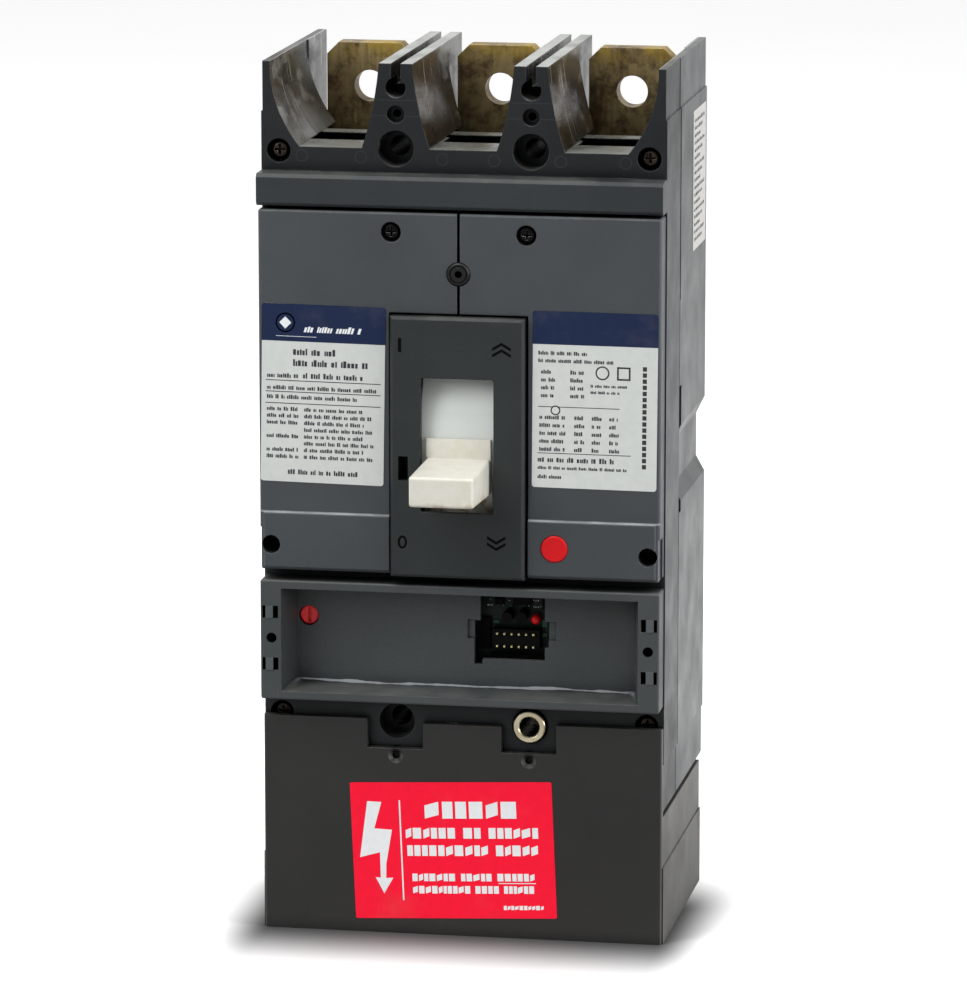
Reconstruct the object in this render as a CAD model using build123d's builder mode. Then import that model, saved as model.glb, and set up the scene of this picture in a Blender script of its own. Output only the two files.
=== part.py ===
from build123d import *

import math
import os

os.makedirs("parts", exist_ok=True)

# A three-pole molded case circuit breaker, 400 A class, shown switched off.
# Row frame: origin in the rear mounting plane, midway between the four mounting holes.
# +X right, +Z up (line side), -Y forward. "Height" is distance forward of the mounting plane.

# ---------------------------------------------------------------- driving dimensions (mm)
WIDTH = 139.7                   # case width
LENGTH = 257.0                  # case length without the lug cover
PITCH = WIDTH / 3               # pole pitch
POLES = (-PITCH, 0.0, PITCH)
SEAMS = (-PITCH / 2, PITCH / 2)  # planes between neighbouring poles
HALF_W = WIDTH / 2
HALF_L = LENGTH / 2

PARTING = 62.6                  # height of the joint between rear base and front cover
DECK = 93.0                     # cover surface under the accessory covers
TERMINAL_FACE = 93.7            # front of both terminal ends
FRONT = 103.0                   # main front surface
ESCUTCHEON_FACE = 106.0
HANDLE_TIP = 136.0

REAR_WALL = 6.0
CHAMBER_END = 92.0              # pole chambers run from -CHAMBER_END to +CHAMBER_END in Z
CHAMBER_WALL = 4.0              # half thickness of a wall between poles, and outer wall
COVER_CHAMBER_TOP = 86.0        # height the chambers reach inside the front cover
WELL_FLOOR = 99.5               # |Z| of the floor of the terminal wells in the cover
BASE_WELL_FLOOR = 98.5
END_ZONE = 111.4                # |Z| beyond which the sides step in
END_STEP = 0.5

STRIP_LOW, STRIP_HIGH = 80.2, 91.2
COVER_LOW, COVER_HIGH = -45.7, 79.0
BAND_LOW, BAND_HIGH = -91.5, -49.5

MOUNT_Z = 99.5
MOUNT_R = 3.45
COUNTERBORE_R = 6.2
CORNER_X, CORNER_Z = 63.8, 98.0
SLEEVE_R = 5.65

HANDLE_PIVOT = (-58.0, 0.0)     # (Y, Z) of the handle axis
CROSSBAR_AXIS = (-42.0, -20.0)
OPEN_ANGLE = 26.0               # contact arms stand this far open when the handle is off
CRADLE_PIVOT = (-66.0, 28.0)
UPPER_PIN = (-76.0, 12.0)
LATCH_PIVOT = (-62.0, -38.0)
TRIP_BAR_AXIS = (-66.0, -45.5)
UPPER_LINK, LOWER_LINK = 13.0, 15.2
ARM_PIN = (-9.0, 20.0)          # lower link pin, from the crossbar axis with contacts closed

STRAP_BACK, STRAP_FRONT = 13.0, 21.0    # heights of a terminal strap's two faces
STRAP_W = 30.5
STRAP_TOP = 126.7
STRAP_HOLE_Z, STRAP_HOLE_R = 111.5, 5.5

BUTTON_X, BUTTON_Z = 33.2, -35.1
KNOB_X, KNOB_Z = -55.2, -64.5


def face(height):
    """The plane at a height above the mounting plane; sketch x is X and sketch y is Z."""
    return Plane.XZ.offset(height)


def across(x):
    """The plane at a given X; sketch x is Y and sketch y is Z, and it extrudes towards +X."""
    return Plane.YZ.offset(x)


def turned(x, centre, angle):
    """The plane across(x) moved to centre (Y, Z) and turned by angle degrees about +X."""
    a = math.radians(angle)
    return Plane(origin=(x, *centre), x_dir=(0, math.cos(a), math.sin(a)), z_dir=(1, 0, 0))


def write(builder, name):
    """Labels a finished piece and writes it as its own STEP file."""
    builder.part.label = name
    export_step(builder.part, f"parts/{name}.step")


# ---------------------------------------------------------------- shared outlines
WINDOW_EDGE = ((11.6, WELL_FLOOR), (12.8, 103.3), (15.9, 116.2), (17.5, HALF_L))
OUTER_EDGE = ((56.6, WELL_FLOOR), (59.2, 103.0), (64.2, 112.8), (66.8, HALF_L))


def window_sides(pole, end):
    """Right and left edges of one terminal well's front opening, from its floor outwards."""
    right = [(pole + x, end * z) for x, z in WINDOW_EDGE]
    left = [(pole - x, end * z) for x, z in WINDOW_EDGE]
    if pole > 1:
        right = [(x, end * z) for x, z in OUTER_EDGE]
    if pole < -1:
        left = [(-x, end * z) for x, z in OUTER_EDGE]
    return right, left


def well_outline(pole, end):
    """The flared opening of one terminal well as a flat sketch."""
    right, left = window_sides(pole, end)
    with BuildSketch() as outline:
        with BuildLine():
            Spline(*right)
            Line(right[-1], left[-1])
            Spline(*reversed(left))
            Line(left[0], right[0])
        make_face()
    return outline.sketch


def chamber_width(pole):
    """Width of a pole chamber; it is centred a little inboard in the two outer poles."""
    if abs(pole) < 1:
        return PITCH - 2 * CHAMBER_WALL
    return HALF_W - CHAMBER_WALL - PITCH / 2 - CHAMBER_WALL


def chamber_centre(pole):
    if abs(pole) < 1:
        return 0.0
    return math.copysign(PITCH / 2 + CHAMBER_WALL + chamber_width(pole) / 2, pole)


# ---------------------------------------------------------------- rear base
SIDE_POCKET_DEPTH = 3.0
SIDE_POCKET = ((-25.9, 0.0), (-20.5, SIDE_POCKET_DEPTH), (-5.2, SIDE_POCKET_DEPTH), (0.9, 0.0))
WELL_HALF = 17.6
OUTER_WELL_X = 66.3
MOUNT_BOSS_R = 7.6
CORNER_BOSS_R = 5.6
FLARE_FOOT = 31.0               # the flared line-end wells and the corner bosses start at this height
CORNER_PILOT_R, CORNER_PILOT_DEPTH = 2.05, 30.0
PASSAGE_LOW, PASSAGE_HIGH = 91.0, 99.6  # |Z| of the strap passages out of the chambers
RIB_W, RIB_LENGTH, RIB_Z = 24.0, 16.0, 82.0
PRY_FOOT, PRY_DEPTH = 57.5, 1.8
PRY_SLOTS = ((-29.6, -22.5), (-2.6, 15.0))
GROOVE_DEPTH, GROOVE_BACK, GROOVE_SPLIT = 0.9, 61.6, 45.0
JOURNAL_R = 11.0
JOURNAL_FIT = 0.08
BARRIER_W = 3.4
BARRIER_FLOOR = 118.0
LEDGE_FRONT, LEDGE_BACK = 55.0, 47.0
VENT_FRONT = 74.0
VENT_W = 28.0

with BuildPart() as rear_base:
    with BuildSketch(face(0)):
        Rectangle(WIDTH, LENGTH)
    extrude(amount=PARTING)
    with BuildSketch(face(PARTING)):
        for pole in POLES:
            with Locations((chamber_centre(pole), 0)):
                Rectangle(chamber_width(pole), 2 * CHAMBER_END)
    extrude(amount=REAR_WALL - PARTING, mode=Mode.SUBTRACT)
    well_length = HALF_L - BASE_WELL_FLOOR
    with BuildSketch(face(0)):
        for end in (1, -1):
            well_z = end * (BASE_WELL_FLOOR + well_length / 2)
            with Locations((0, well_z)):
                Rectangle(2 * WELL_HALF, well_length)
            inner = PITCH - WELL_HALF
            for hand in (1, -1):
                with Locations((hand * (inner + OUTER_WELL_X) / 2, well_z)):
                    Rectangle(OUTER_WELL_X - inner, well_length)
    extrude(amount=FLARE_FOOT, mode=Mode.SUBTRACT)
    # above that height the line-end wells are flared like the cover's, and the load-end ones straight
    for pole in POLES:
        with BuildSketch(face(FLARE_FOOT)):
            add(well_outline(pole, 1))
        extrude(amount=PARTING - FLARE_FOOT, mode=Mode.SUBTRACT)
    with BuildSketch(face(FLARE_FOOT)):
        with Locations((0, -BASE_WELL_FLOOR - well_length / 2)):
            Rectangle(2 * WELL_HALF, well_length)
        for hand in (1, -1):
            with Locations((hand * (inner + OUTER_WELL_X) / 2, -BASE_WELL_FLOOR - well_length / 2)):
                Rectangle(OUTER_WELL_X - inner, well_length)
    extrude(amount=PARTING - FLARE_FOOT, mode=Mode.SUBTRACT)
    # strap passages, and the space in front of each strap that the chamber gases leave through
    passage = (PASSAGE_LOW + PASSAGE_HIGH) / 2
    passage_length = PASSAGE_HIGH - PASSAGE_LOW
    for end in (1, -1):
        for pole in POLES:
            with Locations((pole, -(LEDGE_BACK + REAR_WALL) / 2, end * passage)):
                Box(STRAP_W + 1, LEDGE_BACK - REAR_WALL, passage_length, mode=Mode.SUBTRACT)
            with Locations((pole, -(PARTING + LEDGE_FRONT) / 2, end * passage)):
                Box(VENT_W, PARTING - LEDGE_FRONT, passage_length, mode=Mode.SUBTRACT)
    # bosses for the mounting holes and the corner screws
    with BuildSketch(face(0)):
        with GridLocations(PITCH, 2 * MOUNT_Z, 2, 2):
            Circle(MOUNT_BOSS_R)
    extrude(amount=PARTING)
    with BuildSketch(face(FLARE_FOOT)):
        with GridLocations(2 * CORNER_X, 2 * CORNER_Z, 2, 2):
            Circle(CORNER_BOSS_R)
    extrude(amount=PARTING - FLARE_FOOT)
    # ribs that seat each strap
    for end in (1, -1):
        for pole in POLES:
            with Locations((pole, -(REAR_WALL + STRAP_BACK) / 2, end * RIB_Z)):
                Box(RIB_W, STRAP_BACK - REAR_WALL, RIB_LENGTH)
    # side faces step in beyond the end zones, and a shallow finger pocket crosses each side
    with BuildSketch(face(0)):
        for end in (1, -1):
            for hand in (1, -1):
                with Locations((hand * (HALF_W - END_STEP / 2), end * (END_ZONE + HALF_L) / 2)):
                    Rectangle(END_STEP, HALF_L - END_ZONE)
        for hand in (1, -1):
            with BuildLine():
                Polyline([(hand * (HALF_W - depth), z) for z, depth in SIDE_POCKET], close=True)
            make_face()
    extrude(amount=PARTING, mode=Mode.SUBTRACT)
    # pry slots behind the parting plane, and the groove that runs along it
    for hand in (1, -1):
        for low, high in PRY_SLOTS:
            with Locations((hand * HALF_W, -(PRY_FOOT + PARTING) / 2, (low + high) / 2)):
                Box(2 * PRY_DEPTH, PARTING - PRY_FOOT, high - low, mode=Mode.SUBTRACT)
        for low, high, foot in ((-HALF_L, GROOVE_SPLIT, GROOVE_BACK),
                                (GROOVE_SPLIT, HALF_L, GROOVE_BACK - 1)):
            with Locations((hand * HALF_W, -(foot + PARTING) / 2, (low + high) / 2)):
                Box(2 * GROOVE_DEPTH, PARTING - foot, high - low, mode=Mode.SUBTRACT)
    # saddles for the crossbar through the walls between poles, open to the front
    for seam in SEAMS:
        with BuildSketch(across(seam - CHAMBER_WALL - 1)):
            with Locations(CROSSBAR_AXIS):
                Circle(JOURNAL_R + JOURNAL_FIT)
            saddle = PARTING + CROSSBAR_AXIS[0]
            with Locations((CROSSBAR_AXIS[0] - saddle / 2, CROSSBAR_AXIS[1])):
                Rectangle(saddle, 2 * (JOURNAL_R + JOURNAL_FIT))
        extrude(amount=2 * CHAMBER_WALL + 2, mode=Mode.SUBTRACT)
    # slots for phase barriers
    with BuildSketch(face(0)):
        for end in (1, -1):
            for seam in SEAMS:
                with Locations((seam, end * (BARRIER_FLOOR + HALF_L) / 2)):
                    Rectangle(BARRIER_W, HALF_L - BARRIER_FLOOR)
    extrude(amount=PARTING, mode=Mode.SUBTRACT)
    # mounting holes, the lower right one bored out for its sleeve
    with BuildSketch(face(0)):
        with Locations((SEAMS[0], MOUNT_Z), (SEAMS[1], MOUNT_Z), (SEAMS[0], -MOUNT_Z)):
            Circle(MOUNT_R)
        with Locations((SEAMS[1], -MOUNT_Z)):
            Circle(SLEEVE_R + 0.05)
    extrude(amount=PARTING, mode=Mode.SUBTRACT)
    # pilot holes for the corner screws
    with BuildSketch(face(PARTING)):
        with GridLocations(2 * CORNER_X, 2 * CORNER_Z, 2, 2):
            Circle(CORNER_PILOT_R)
    extrude(amount=-CORNER_PILOT_DEPTH, mode=Mode.SUBTRACT)
write(rear_base, "rear_base")

# ---------------------------------------------------------------- front cover
POCKET_W, POCKET_LOW, POCKET_HIGH, POCKET_DEPTH = 34.0, -22.0, 14.0, 15.0
POCKET_X = 44.0
POCKET_WALL = 2.0
MECH_LOW, MECH_HIGH = -46.0, 45.0
TRIP_OPEN_W, TRIP_OPEN_LOW, TRIP_OPEN_HIGH = 125.0, -91.0, -50.0
KEYHOLE_Z, KEYHOLE_R = 120.3, 3.5
SMALL_HOLE_Z = 111.2
SMALL_RECESS_R, SMALL_RECESS, SMALL_HOLE_R = 3.0, 3.0, 1.4
PILOT_DEPTH = 12.0
COUNTERBORE_DEPTH = 9.0
CORNER_RECESS_R, CORNER_RECESS = 4.1, 4.5
ACCESSORY_SCREW_Z = 72.3
DEEP_SCREW_X, DEEP_SCREW_Z = 65.5, -36.9
PLUG_Z = 58.4
STRIP_CHAMFER = 1.2

with BuildPart() as front_cover:
    with BuildSketch(face(PARTING)):
        Rectangle(WIDTH, LENGTH)
    extrude(amount=DECK - PARTING)
    with BuildSketch(face(DECK)):
        for end, inner_edge in ((1, STRIP_HIGH), (-1, -BAND_LOW + 0.2)):
            with Locations((0, end * (inner_edge + HALF_L) / 2)):
                Rectangle(WIDTH, HALF_L - inner_edge)
    extrude(amount=TERMINAL_FACE - DECK)
    with BuildSketch(face(DECK)):
        with Locations((0, (STRIP_LOW + STRIP_HIGH) / 2)):
            Rectangle(WIDTH, STRIP_HIGH - STRIP_LOW)
    extrude(amount=FRONT - DECK)
    strip_edges = edges().filter_by(Axis.X).filter_by_position(Axis.Y, -FRONT - 0.1, -FRONT + 0.1)
    chamfer(strip_edges, STRIP_CHAMFER)
    # pole chambers
    with BuildSketch(face(PARTING)):
        for pole in POLES:
            low = TRIP_OPEN_HIGH
            with Locations((chamber_centre(pole), (low + CHAMBER_END) / 2)):
                Rectangle(chamber_width(pole), CHAMBER_END - low)
            with Locations((chamber_centre(pole), (low - CHAMBER_END) / 2)):
                Rectangle(chamber_width(pole), CHAMBER_END + low)
    extrude(amount=COVER_CHAMBER_TOP - PARTING, mode=Mode.SUBTRACT)
    # opening over the mechanism, and over the trip unit
    with BuildSketch(face(DECK)):
        with Locations((0, (MECH_LOW + MECH_HIGH) / 2)):
            Rectangle(chamber_width(0), MECH_HIGH - MECH_LOW)
    extrude(amount=PARTING - DECK, mode=Mode.SUBTRACT)
    with BuildSketch(face(DECK)):
        with Locations((0, (TRIP_OPEN_LOW + TRIP_OPEN_HIGH) / 2)):
            Rectangle(TRIP_OPEN_W, TRIP_OPEN_HIGH - TRIP_OPEN_LOW)
    extrude(amount=PARTING - DECK, mode=Mode.SUBTRACT)
    # accessory pockets with their own floors
    pocket_z = (POCKET_LOW + POCKET_HIGH) / 2
    pocket_h = POCKET_HIGH - POCKET_LOW
    with BuildSketch(face(DECK)):
        with Locations((POCKET_X, pocket_z), (-POCKET_X, pocket_z)):
            Rectangle(POCKET_W + 2 * POCKET_WALL, pocket_h + 2 * POCKET_WALL)
    extrude(amount=-POCKET_DEPTH - POCKET_WALL)
    with BuildSketch(face(DECK)):
        with Locations((POCKET_X, pocket_z), (-POCKET_X, pocket_z)):
            Rectangle(POCKET_W, pocket_h)
    extrude(amount=-POCKET_DEPTH, mode=Mode.SUBTRACT)
    # terminal wells with flared towers between them, and the vents in their floors
    for end in (1, -1):
        for pole in POLES:
            with BuildSketch(face(TERMINAL_FACE)):
                add(well_outline(pole, end))
            extrude(amount=PARTING - TERMINAL_FACE, mode=Mode.SUBTRACT)
            with Locations((pole, -(PARTING + VENT_FRONT) / 2, end * (CHAMBER_END + WELL_FLOOR) / 2)):
                Box(VENT_W - 7, VENT_FRONT - PARTING, WELL_FLOOR - CHAMBER_END, mode=Mode.SUBTRACT)
    with BuildSketch(face(PARTING)):
        for end in (1, -1):
            for seam in SEAMS:
                with Locations((seam, end * (KEYHOLE_Z + HALF_L) / 2)):
                    Rectangle(BARRIER_W, HALF_L - KEYHOLE_Z)
            for hand in (1, -1):
                with Locations((hand * (HALF_W - END_STEP / 2), end * (END_ZONE + HALF_L) / 2)):
                    Rectangle(END_STEP, HALF_L - END_ZONE)
    extrude(amount=TERMINAL_FACE - PARTING, mode=Mode.SUBTRACT)
    with BuildSketch(face(TERMINAL_FACE)):
        with GridLocations(PITCH, 2 * KEYHOLE_Z, 2, 2):
            Circle(KEYHOLE_R)
    extrude(amount=-PILOT_DEPTH, mode=Mode.SUBTRACT)
    with BuildSketch(face(TERMINAL_FACE)):
        with GridLocations(PITCH, 2 * SMALL_HOLE_Z, 2, 2):
            Circle(SMALL_RECESS_R)
    extrude(amount=-SMALL_RECESS, mode=Mode.SUBTRACT)
    with BuildSketch(face(TERMINAL_FACE)):
        with GridLocations(PITCH, 2 * SMALL_HOLE_Z, 2, 2):
            Circle(SMALL_HOLE_R)
    extrude(amount=-PILOT_DEPTH, mode=Mode.SUBTRACT)
    # mounting holes with counterbores
    with BuildSketch(face(TERMINAL_FACE)):
        with GridLocations(PITCH, 2 * MOUNT_Z, 2, 2):
            Circle(COUNTERBORE_R)
    extrude(amount=-COUNTERBORE_DEPTH, mode=Mode.SUBTRACT)
    with BuildSketch(face(PARTING)):
        with Locations((SEAMS[0], MOUNT_Z), (SEAMS[1], MOUNT_Z), (SEAMS[0], -MOUNT_Z)):
            Circle(MOUNT_R)
        with Locations((SEAMS[1], -MOUNT_Z)):
            Circle(SLEEVE_R + 0.05)
    extrude(amount=TERMINAL_FACE - PARTING, mode=Mode.SUBTRACT)
    # corner screw recesses and holes
    with BuildSketch(face(TERMINAL_FACE)):
        with GridLocations(2 * CORNER_X, 2 * CORNER_Z, 2, 2):
            Circle(CORNER_RECESS_R)
    extrude(amount=-CORNER_RECESS, mode=Mode.SUBTRACT)
    with BuildSketch(face(PARTING)):
        with GridLocations(2 * CORNER_X, 2 * CORNER_Z, 2, 2):
            Circle(2.3)
    extrude(amount=TERMINAL_FACE - PARTING, mode=Mode.SUBTRACT)
    # pilot holes for the accessory cover screws, the lock plug and the push button stem
    with BuildSketch(face(DECK)):
        with Locations((SEAMS[0], ACCESSORY_SCREW_Z), (SEAMS[1], ACCESSORY_SCREW_Z)):
            Circle(1.55)
        with Locations((-DEEP_SCREW_X, DEEP_SCREW_Z), (DEEP_SCREW_X, DEEP_SCREW_Z)):
            Circle(1.55)
        with Locations((0, PLUG_Z)):
            Circle(1.8)
        with Locations((BUTTON_X, BUTTON_Z)):
            Circle(2.6)
    extrude(amount=-14, mode=Mode.SUBTRACT)
    # passage for the trip bar through the walls between poles, open to the rear
    for seam in SEAMS:
        with BuildSketch(across(seam - CHAMBER_WALL - 1)):
            with Locations(TRIP_BAR_AXIS):
                Circle(4.2)
            with Locations(((TRIP_BAR_AXIS[0] - PARTING) / 2, TRIP_BAR_AXIS[1])):
                Rectangle(TRIP_BAR_AXIS[0] * -1 - PARTING, 8.4)
        extrude(amount=2 * CHAMBER_WALL + 2, mode=Mode.SUBTRACT)
write(front_cover, "front_cover")

# ---------------------------------------------------------------- accessory covers
SKIN_FRONT = 102.7              # upper, larger area of each accessory cover
STEP_Z = -25.5                  # below this the cover stands slightly prouder
STEP_RISE = 0.7
COVER_SKIN = 2.6
COVER_SIDE = HALF_W - 0.45
ESC_W, ESC_LOW, ESC_HIGH = 46.4, -46.1, 44.0
ESC_GAP = 0.8
PLUG_R, PLUG_GAP = 3.9, 0.25
PLUG_GROOVE = (3.1, 2.6)         # outer and inner radius of the ring groove in the plug face
COVER_ROUND = 1.3
SCREW_RECESS_R, SCREW_RECESS = 3.5, 3.0
DEEP_RECESS_R, DEEP_SEAT = 3.2, 94.4


def accessory_cover(hand):
    """One of the two caps beside the handle; hand is +1 for the right one."""
    middle = hand * (COVER_SIDE + 0.5) / 2
    width = COVER_SIDE - 0.5
    with BuildPart() as cap:
        with BuildSketch(face(DECK)):
            with Locations((middle, (COVER_LOW + COVER_HIGH) / 2)):
                Rectangle(width, COVER_HIGH - COVER_LOW)
        extrude(amount=SKIN_FRONT - DECK)
        outer = edges().filter_by(Axis.Z).group_by(Axis.Y)[0].sort_by(Axis.X)[-1 if hand > 0 else 0]
        fillet(outer, COVER_ROUND)
        chamfer(edges().filter_by(Axis.X).sort_by(Axis.Y)[:2], 0.6)
        # the lower part stands a little prouder, behind a chamfer that catches the light
        with BuildSketch(face(SKIN_FRONT)):
            with Locations((middle - hand * COVER_ROUND / 2, (COVER_LOW + 0.6 + STEP_Z) / 2)):
                Rectangle(width - COVER_ROUND, STEP_Z - COVER_LOW - 0.6)
        extrude(amount=STEP_RISE)
        chamfer(faces().sort_by(Axis.Y)[0].edges(), STEP_RISE - 0.1)
        # hollow behind the skin
        with BuildSketch(face(DECK)):
            with Locations((middle, (COVER_LOW + COVER_HIGH) / 2)):
                Rectangle(width - 4.4, COVER_HIGH - COVER_LOW - 4.4)
        extrude(amount=SKIN_FRONT - COVER_SKIN - DECK, mode=Mode.SUBTRACT)
        # posts around the screws and the button
        with BuildSketch(face(DECK)):
            with Locations((hand * PITCH / 2, ACCESSORY_SCREW_Z)):
                Circle(5.2)
            with Locations((hand * (DEEP_SCREW_X - 0.6), DEEP_SCREW_Z)):
                Circle(4.2)
            if hand > 0:
                with Locations((BUTTON_X, BUTTON_Z)):
                    Circle(6.2)
        extrude(amount=SKIN_FRONT - COVER_SKIN - DECK)
        # opening for the handle escutcheon, and a half-round bite for the lock plug
        with BuildSketch(face(DECK)):
            with Locations((0, (ESC_LOW + ESC_HIGH) / 2)):
                Rectangle(ESC_W + 2 * ESC_GAP, ESC_HIGH - ESC_LOW + 2 * ESC_GAP)
            with Locations((0, PLUG_Z)):
                Circle(PLUG_R + PLUG_GAP)
        extrude(amount=FRONT + 2 - DECK, mode=Mode.SUBTRACT)
        with BuildSketch(face(SKIN_FRONT)):
            with Locations((hand * PITCH / 2, ACCESSORY_SCREW_Z)):
                Circle(SCREW_RECESS_R)
        extrude(amount=-SCREW_RECESS, mode=Mode.SUBTRACT)
        with BuildSketch(face(DECK)):
            with Locations((hand * PITCH / 2, ACCESSORY_SCREW_Z)):
                Circle(1.9)
            with Locations((hand * DEEP_SCREW_X, DEEP_SCREW_Z)):
                Circle(1.9)
            if hand > 0:
                with Locations((BUTTON_X, BUTTON_Z)):
                    Circle(4.75)
        extrude(amount=FRONT + 2 - DECK, mode=Mode.SUBTRACT)
        with BuildSketch(face(FRONT + 1)):
            with Locations((hand * (DEEP_SCREW_X - 0.2), DEEP_SCREW_Z)):
                Circle(DEEP_RECESS_R)
        extrude(amount=DEEP_SEAT - FRONT - 1, mode=Mode.SUBTRACT)
        # shallow pull recess low on the outer side
        with Locations((hand * HALF_W, -(DECK + FRONT) / 2 - 1.5, (COVER_LOW - 31) / 2)):
            Box(2 * 1.1, FRONT - DECK - 4, -31 - COVER_LOW, mode=Mode.SUBTRACT)
    return cap


left_accessory_cover = accessory_cover(-1)
write(left_accessory_cover, "left_accessory_cover")
right_accessory_cover = accessory_cover(1)
write(right_accessory_cover, "right_accessory_cover")

# ---------------------------------------------------------------- lock plug between the covers
with BuildPart() as lock_plug:
    with BuildSketch(face(DECK)):
        with Locations((0, PLUG_Z)):
            Circle(PLUG_R)
    extrude(amount=FRONT + 0.2 - DECK)
    chamfer(edges().filter_by(GeomType.CIRCLE).sort_by(Axis.Y)[0], 0.4)
    with BuildSketch(face(FRONT + 0.2)):
        with Locations((0, PLUG_Z)):
            Circle(PLUG_GROOVE[0])
            Circle(PLUG_GROOVE[1], mode=Mode.SUBTRACT)
    extrude(amount=-0.6, mode=Mode.SUBTRACT)
    with BuildSketch(face(FRONT + 0.2)):
        with Locations((0, PLUG_Z)):
            Circle(1.3)
    extrude(amount=-6, mode=Mode.SUBTRACT)
    with BuildSketch(face(DECK)):
        with Locations((0, PLUG_Z)):
            Circle(1.7)
    extrude(amount=-6)
write(lock_plug, "lock_plug")

# ---------------------------------------------------------------- handle escutcheon
SLOT_W, SLOT_LOW, SLOT_HIGH = 25.2, -23.4, 23.0
ESC_WALL = 2.5
INDICATOR_SLOT = (-18.65, -8.4, 3.4, 8.4)
ON_BAR_AT, ON_BAR_SIZE = (-19.7, 34.2), (0.9, 4.6)
OFF_RING_AT, OFF_RING_OUT, OFF_RING_IN = (-18.9, -34.0), (1.6, 2.3), (0.85, 1.5)
MARK_DEPTH = 0.35

with BuildPart() as escutcheon:
    esc_z = (ESC_LOW + ESC_HIGH) / 2
    with BuildSketch(face(DECK)):
        with Locations((0, esc_z)):
            Rectangle(ESC_W, ESC_HIGH - ESC_LOW)
    extrude(amount=ESCUTCHEON_FACE - DECK)
    chamfer(faces().sort_by(Axis.Y)[0].edges(), 1.0)
    with BuildSketch(face(DECK)):
        with Locations((0, esc_z)):
            Rectangle(ESC_W - 2 * ESC_WALL, ESC_HIGH - ESC_LOW - 2 * ESC_WALL)
    extrude(amount=ESCUTCHEON_FACE - ESC_WALL - DECK, mode=Mode.SUBTRACT)
    with BuildSketch(face(DECK)):
        with Locations((0, (SLOT_LOW + SLOT_HIGH) / 2)):
            RectangleRounded(SLOT_W, SLOT_HIGH - SLOT_LOW, 0.8)
        with Locations(INDICATOR_SLOT[:2]):
            Rectangle(*INDICATOR_SLOT[2:])
    extrude(amount=ESCUTCHEON_FACE - DECK, mode=Mode.SUBTRACT)
    # engraved marks: a bar for on, a ring for off
    with BuildSketch(face(ESCUTCHEON_FACE)):
        with Locations(ON_BAR_AT):
            Rectangle(*ON_BAR_SIZE)
        with Locations(OFF_RING_AT):
            Ellipse(*OFF_RING_OUT)
            Ellipse(*OFF_RING_IN, mode=Mode.SUBTRACT)
    extrude(amount=-MARK_DEPTH, mode=Mode.SUBTRACT)
write(escutcheon, "escutcheon")

# ---------------------------------------------------------------- trip unit cover
BAND_SIDE = HALF_W - 0.45
BAND_ROUND = 0.8
RECESS_HALF, RECESS_LOW, RECESS_HIGH = 62.1, -88.6, -52.4
RECESS_FLOOR = 89.0
FLOOR_SKIN = 2.0
RAIL_HOLE_X, RAIL_HOLE_Z = 65.5, -69.9
SNAP_Z = (-60.8, -79.0)          # snap slots in each end rail, in pairs beside a low pad
SNAP_H = 4.4
INNER_SNAP_X, INNER_SNAP_W = 64.0, 1.8
OUTER_SNAP_X, OUTER_SNAP_W = 68.1, 1.1
SNAP_PAD_X, SNAP_PAD_W, SNAP_PAD_RISE = 66.2, 2.6, 0.3
RAIL_HOLLOW_X, RAIL_HOLLOW_W, RAIL_SKIN = 66.4, 3.6, 2.2
RAIL_HOLE_R = 1.8
RELIEFS = ((1.9, -67.1), (30.2, -67.0))
RELIEF_W, RELIEF_H, RELIEF_DEPTH = 2.6, 6.6, 1.0
RECESS_TAPER = 3.2              # how much narrower the recess floor is at each end
KNOB_HOLE_R = 3.55
PLUG_OPENING = ((5.1, -55.4), (27.6, -55.4), (27.6, -63.7), (29.0, -63.7), (29.0, -72.9), (27.6, -72.9),
                (27.6, -77.5), (5.8, -77.5), (5.8, -79.4), (3.0, -79.4), (3.0, -64.0), (5.1, -64.0))

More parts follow.
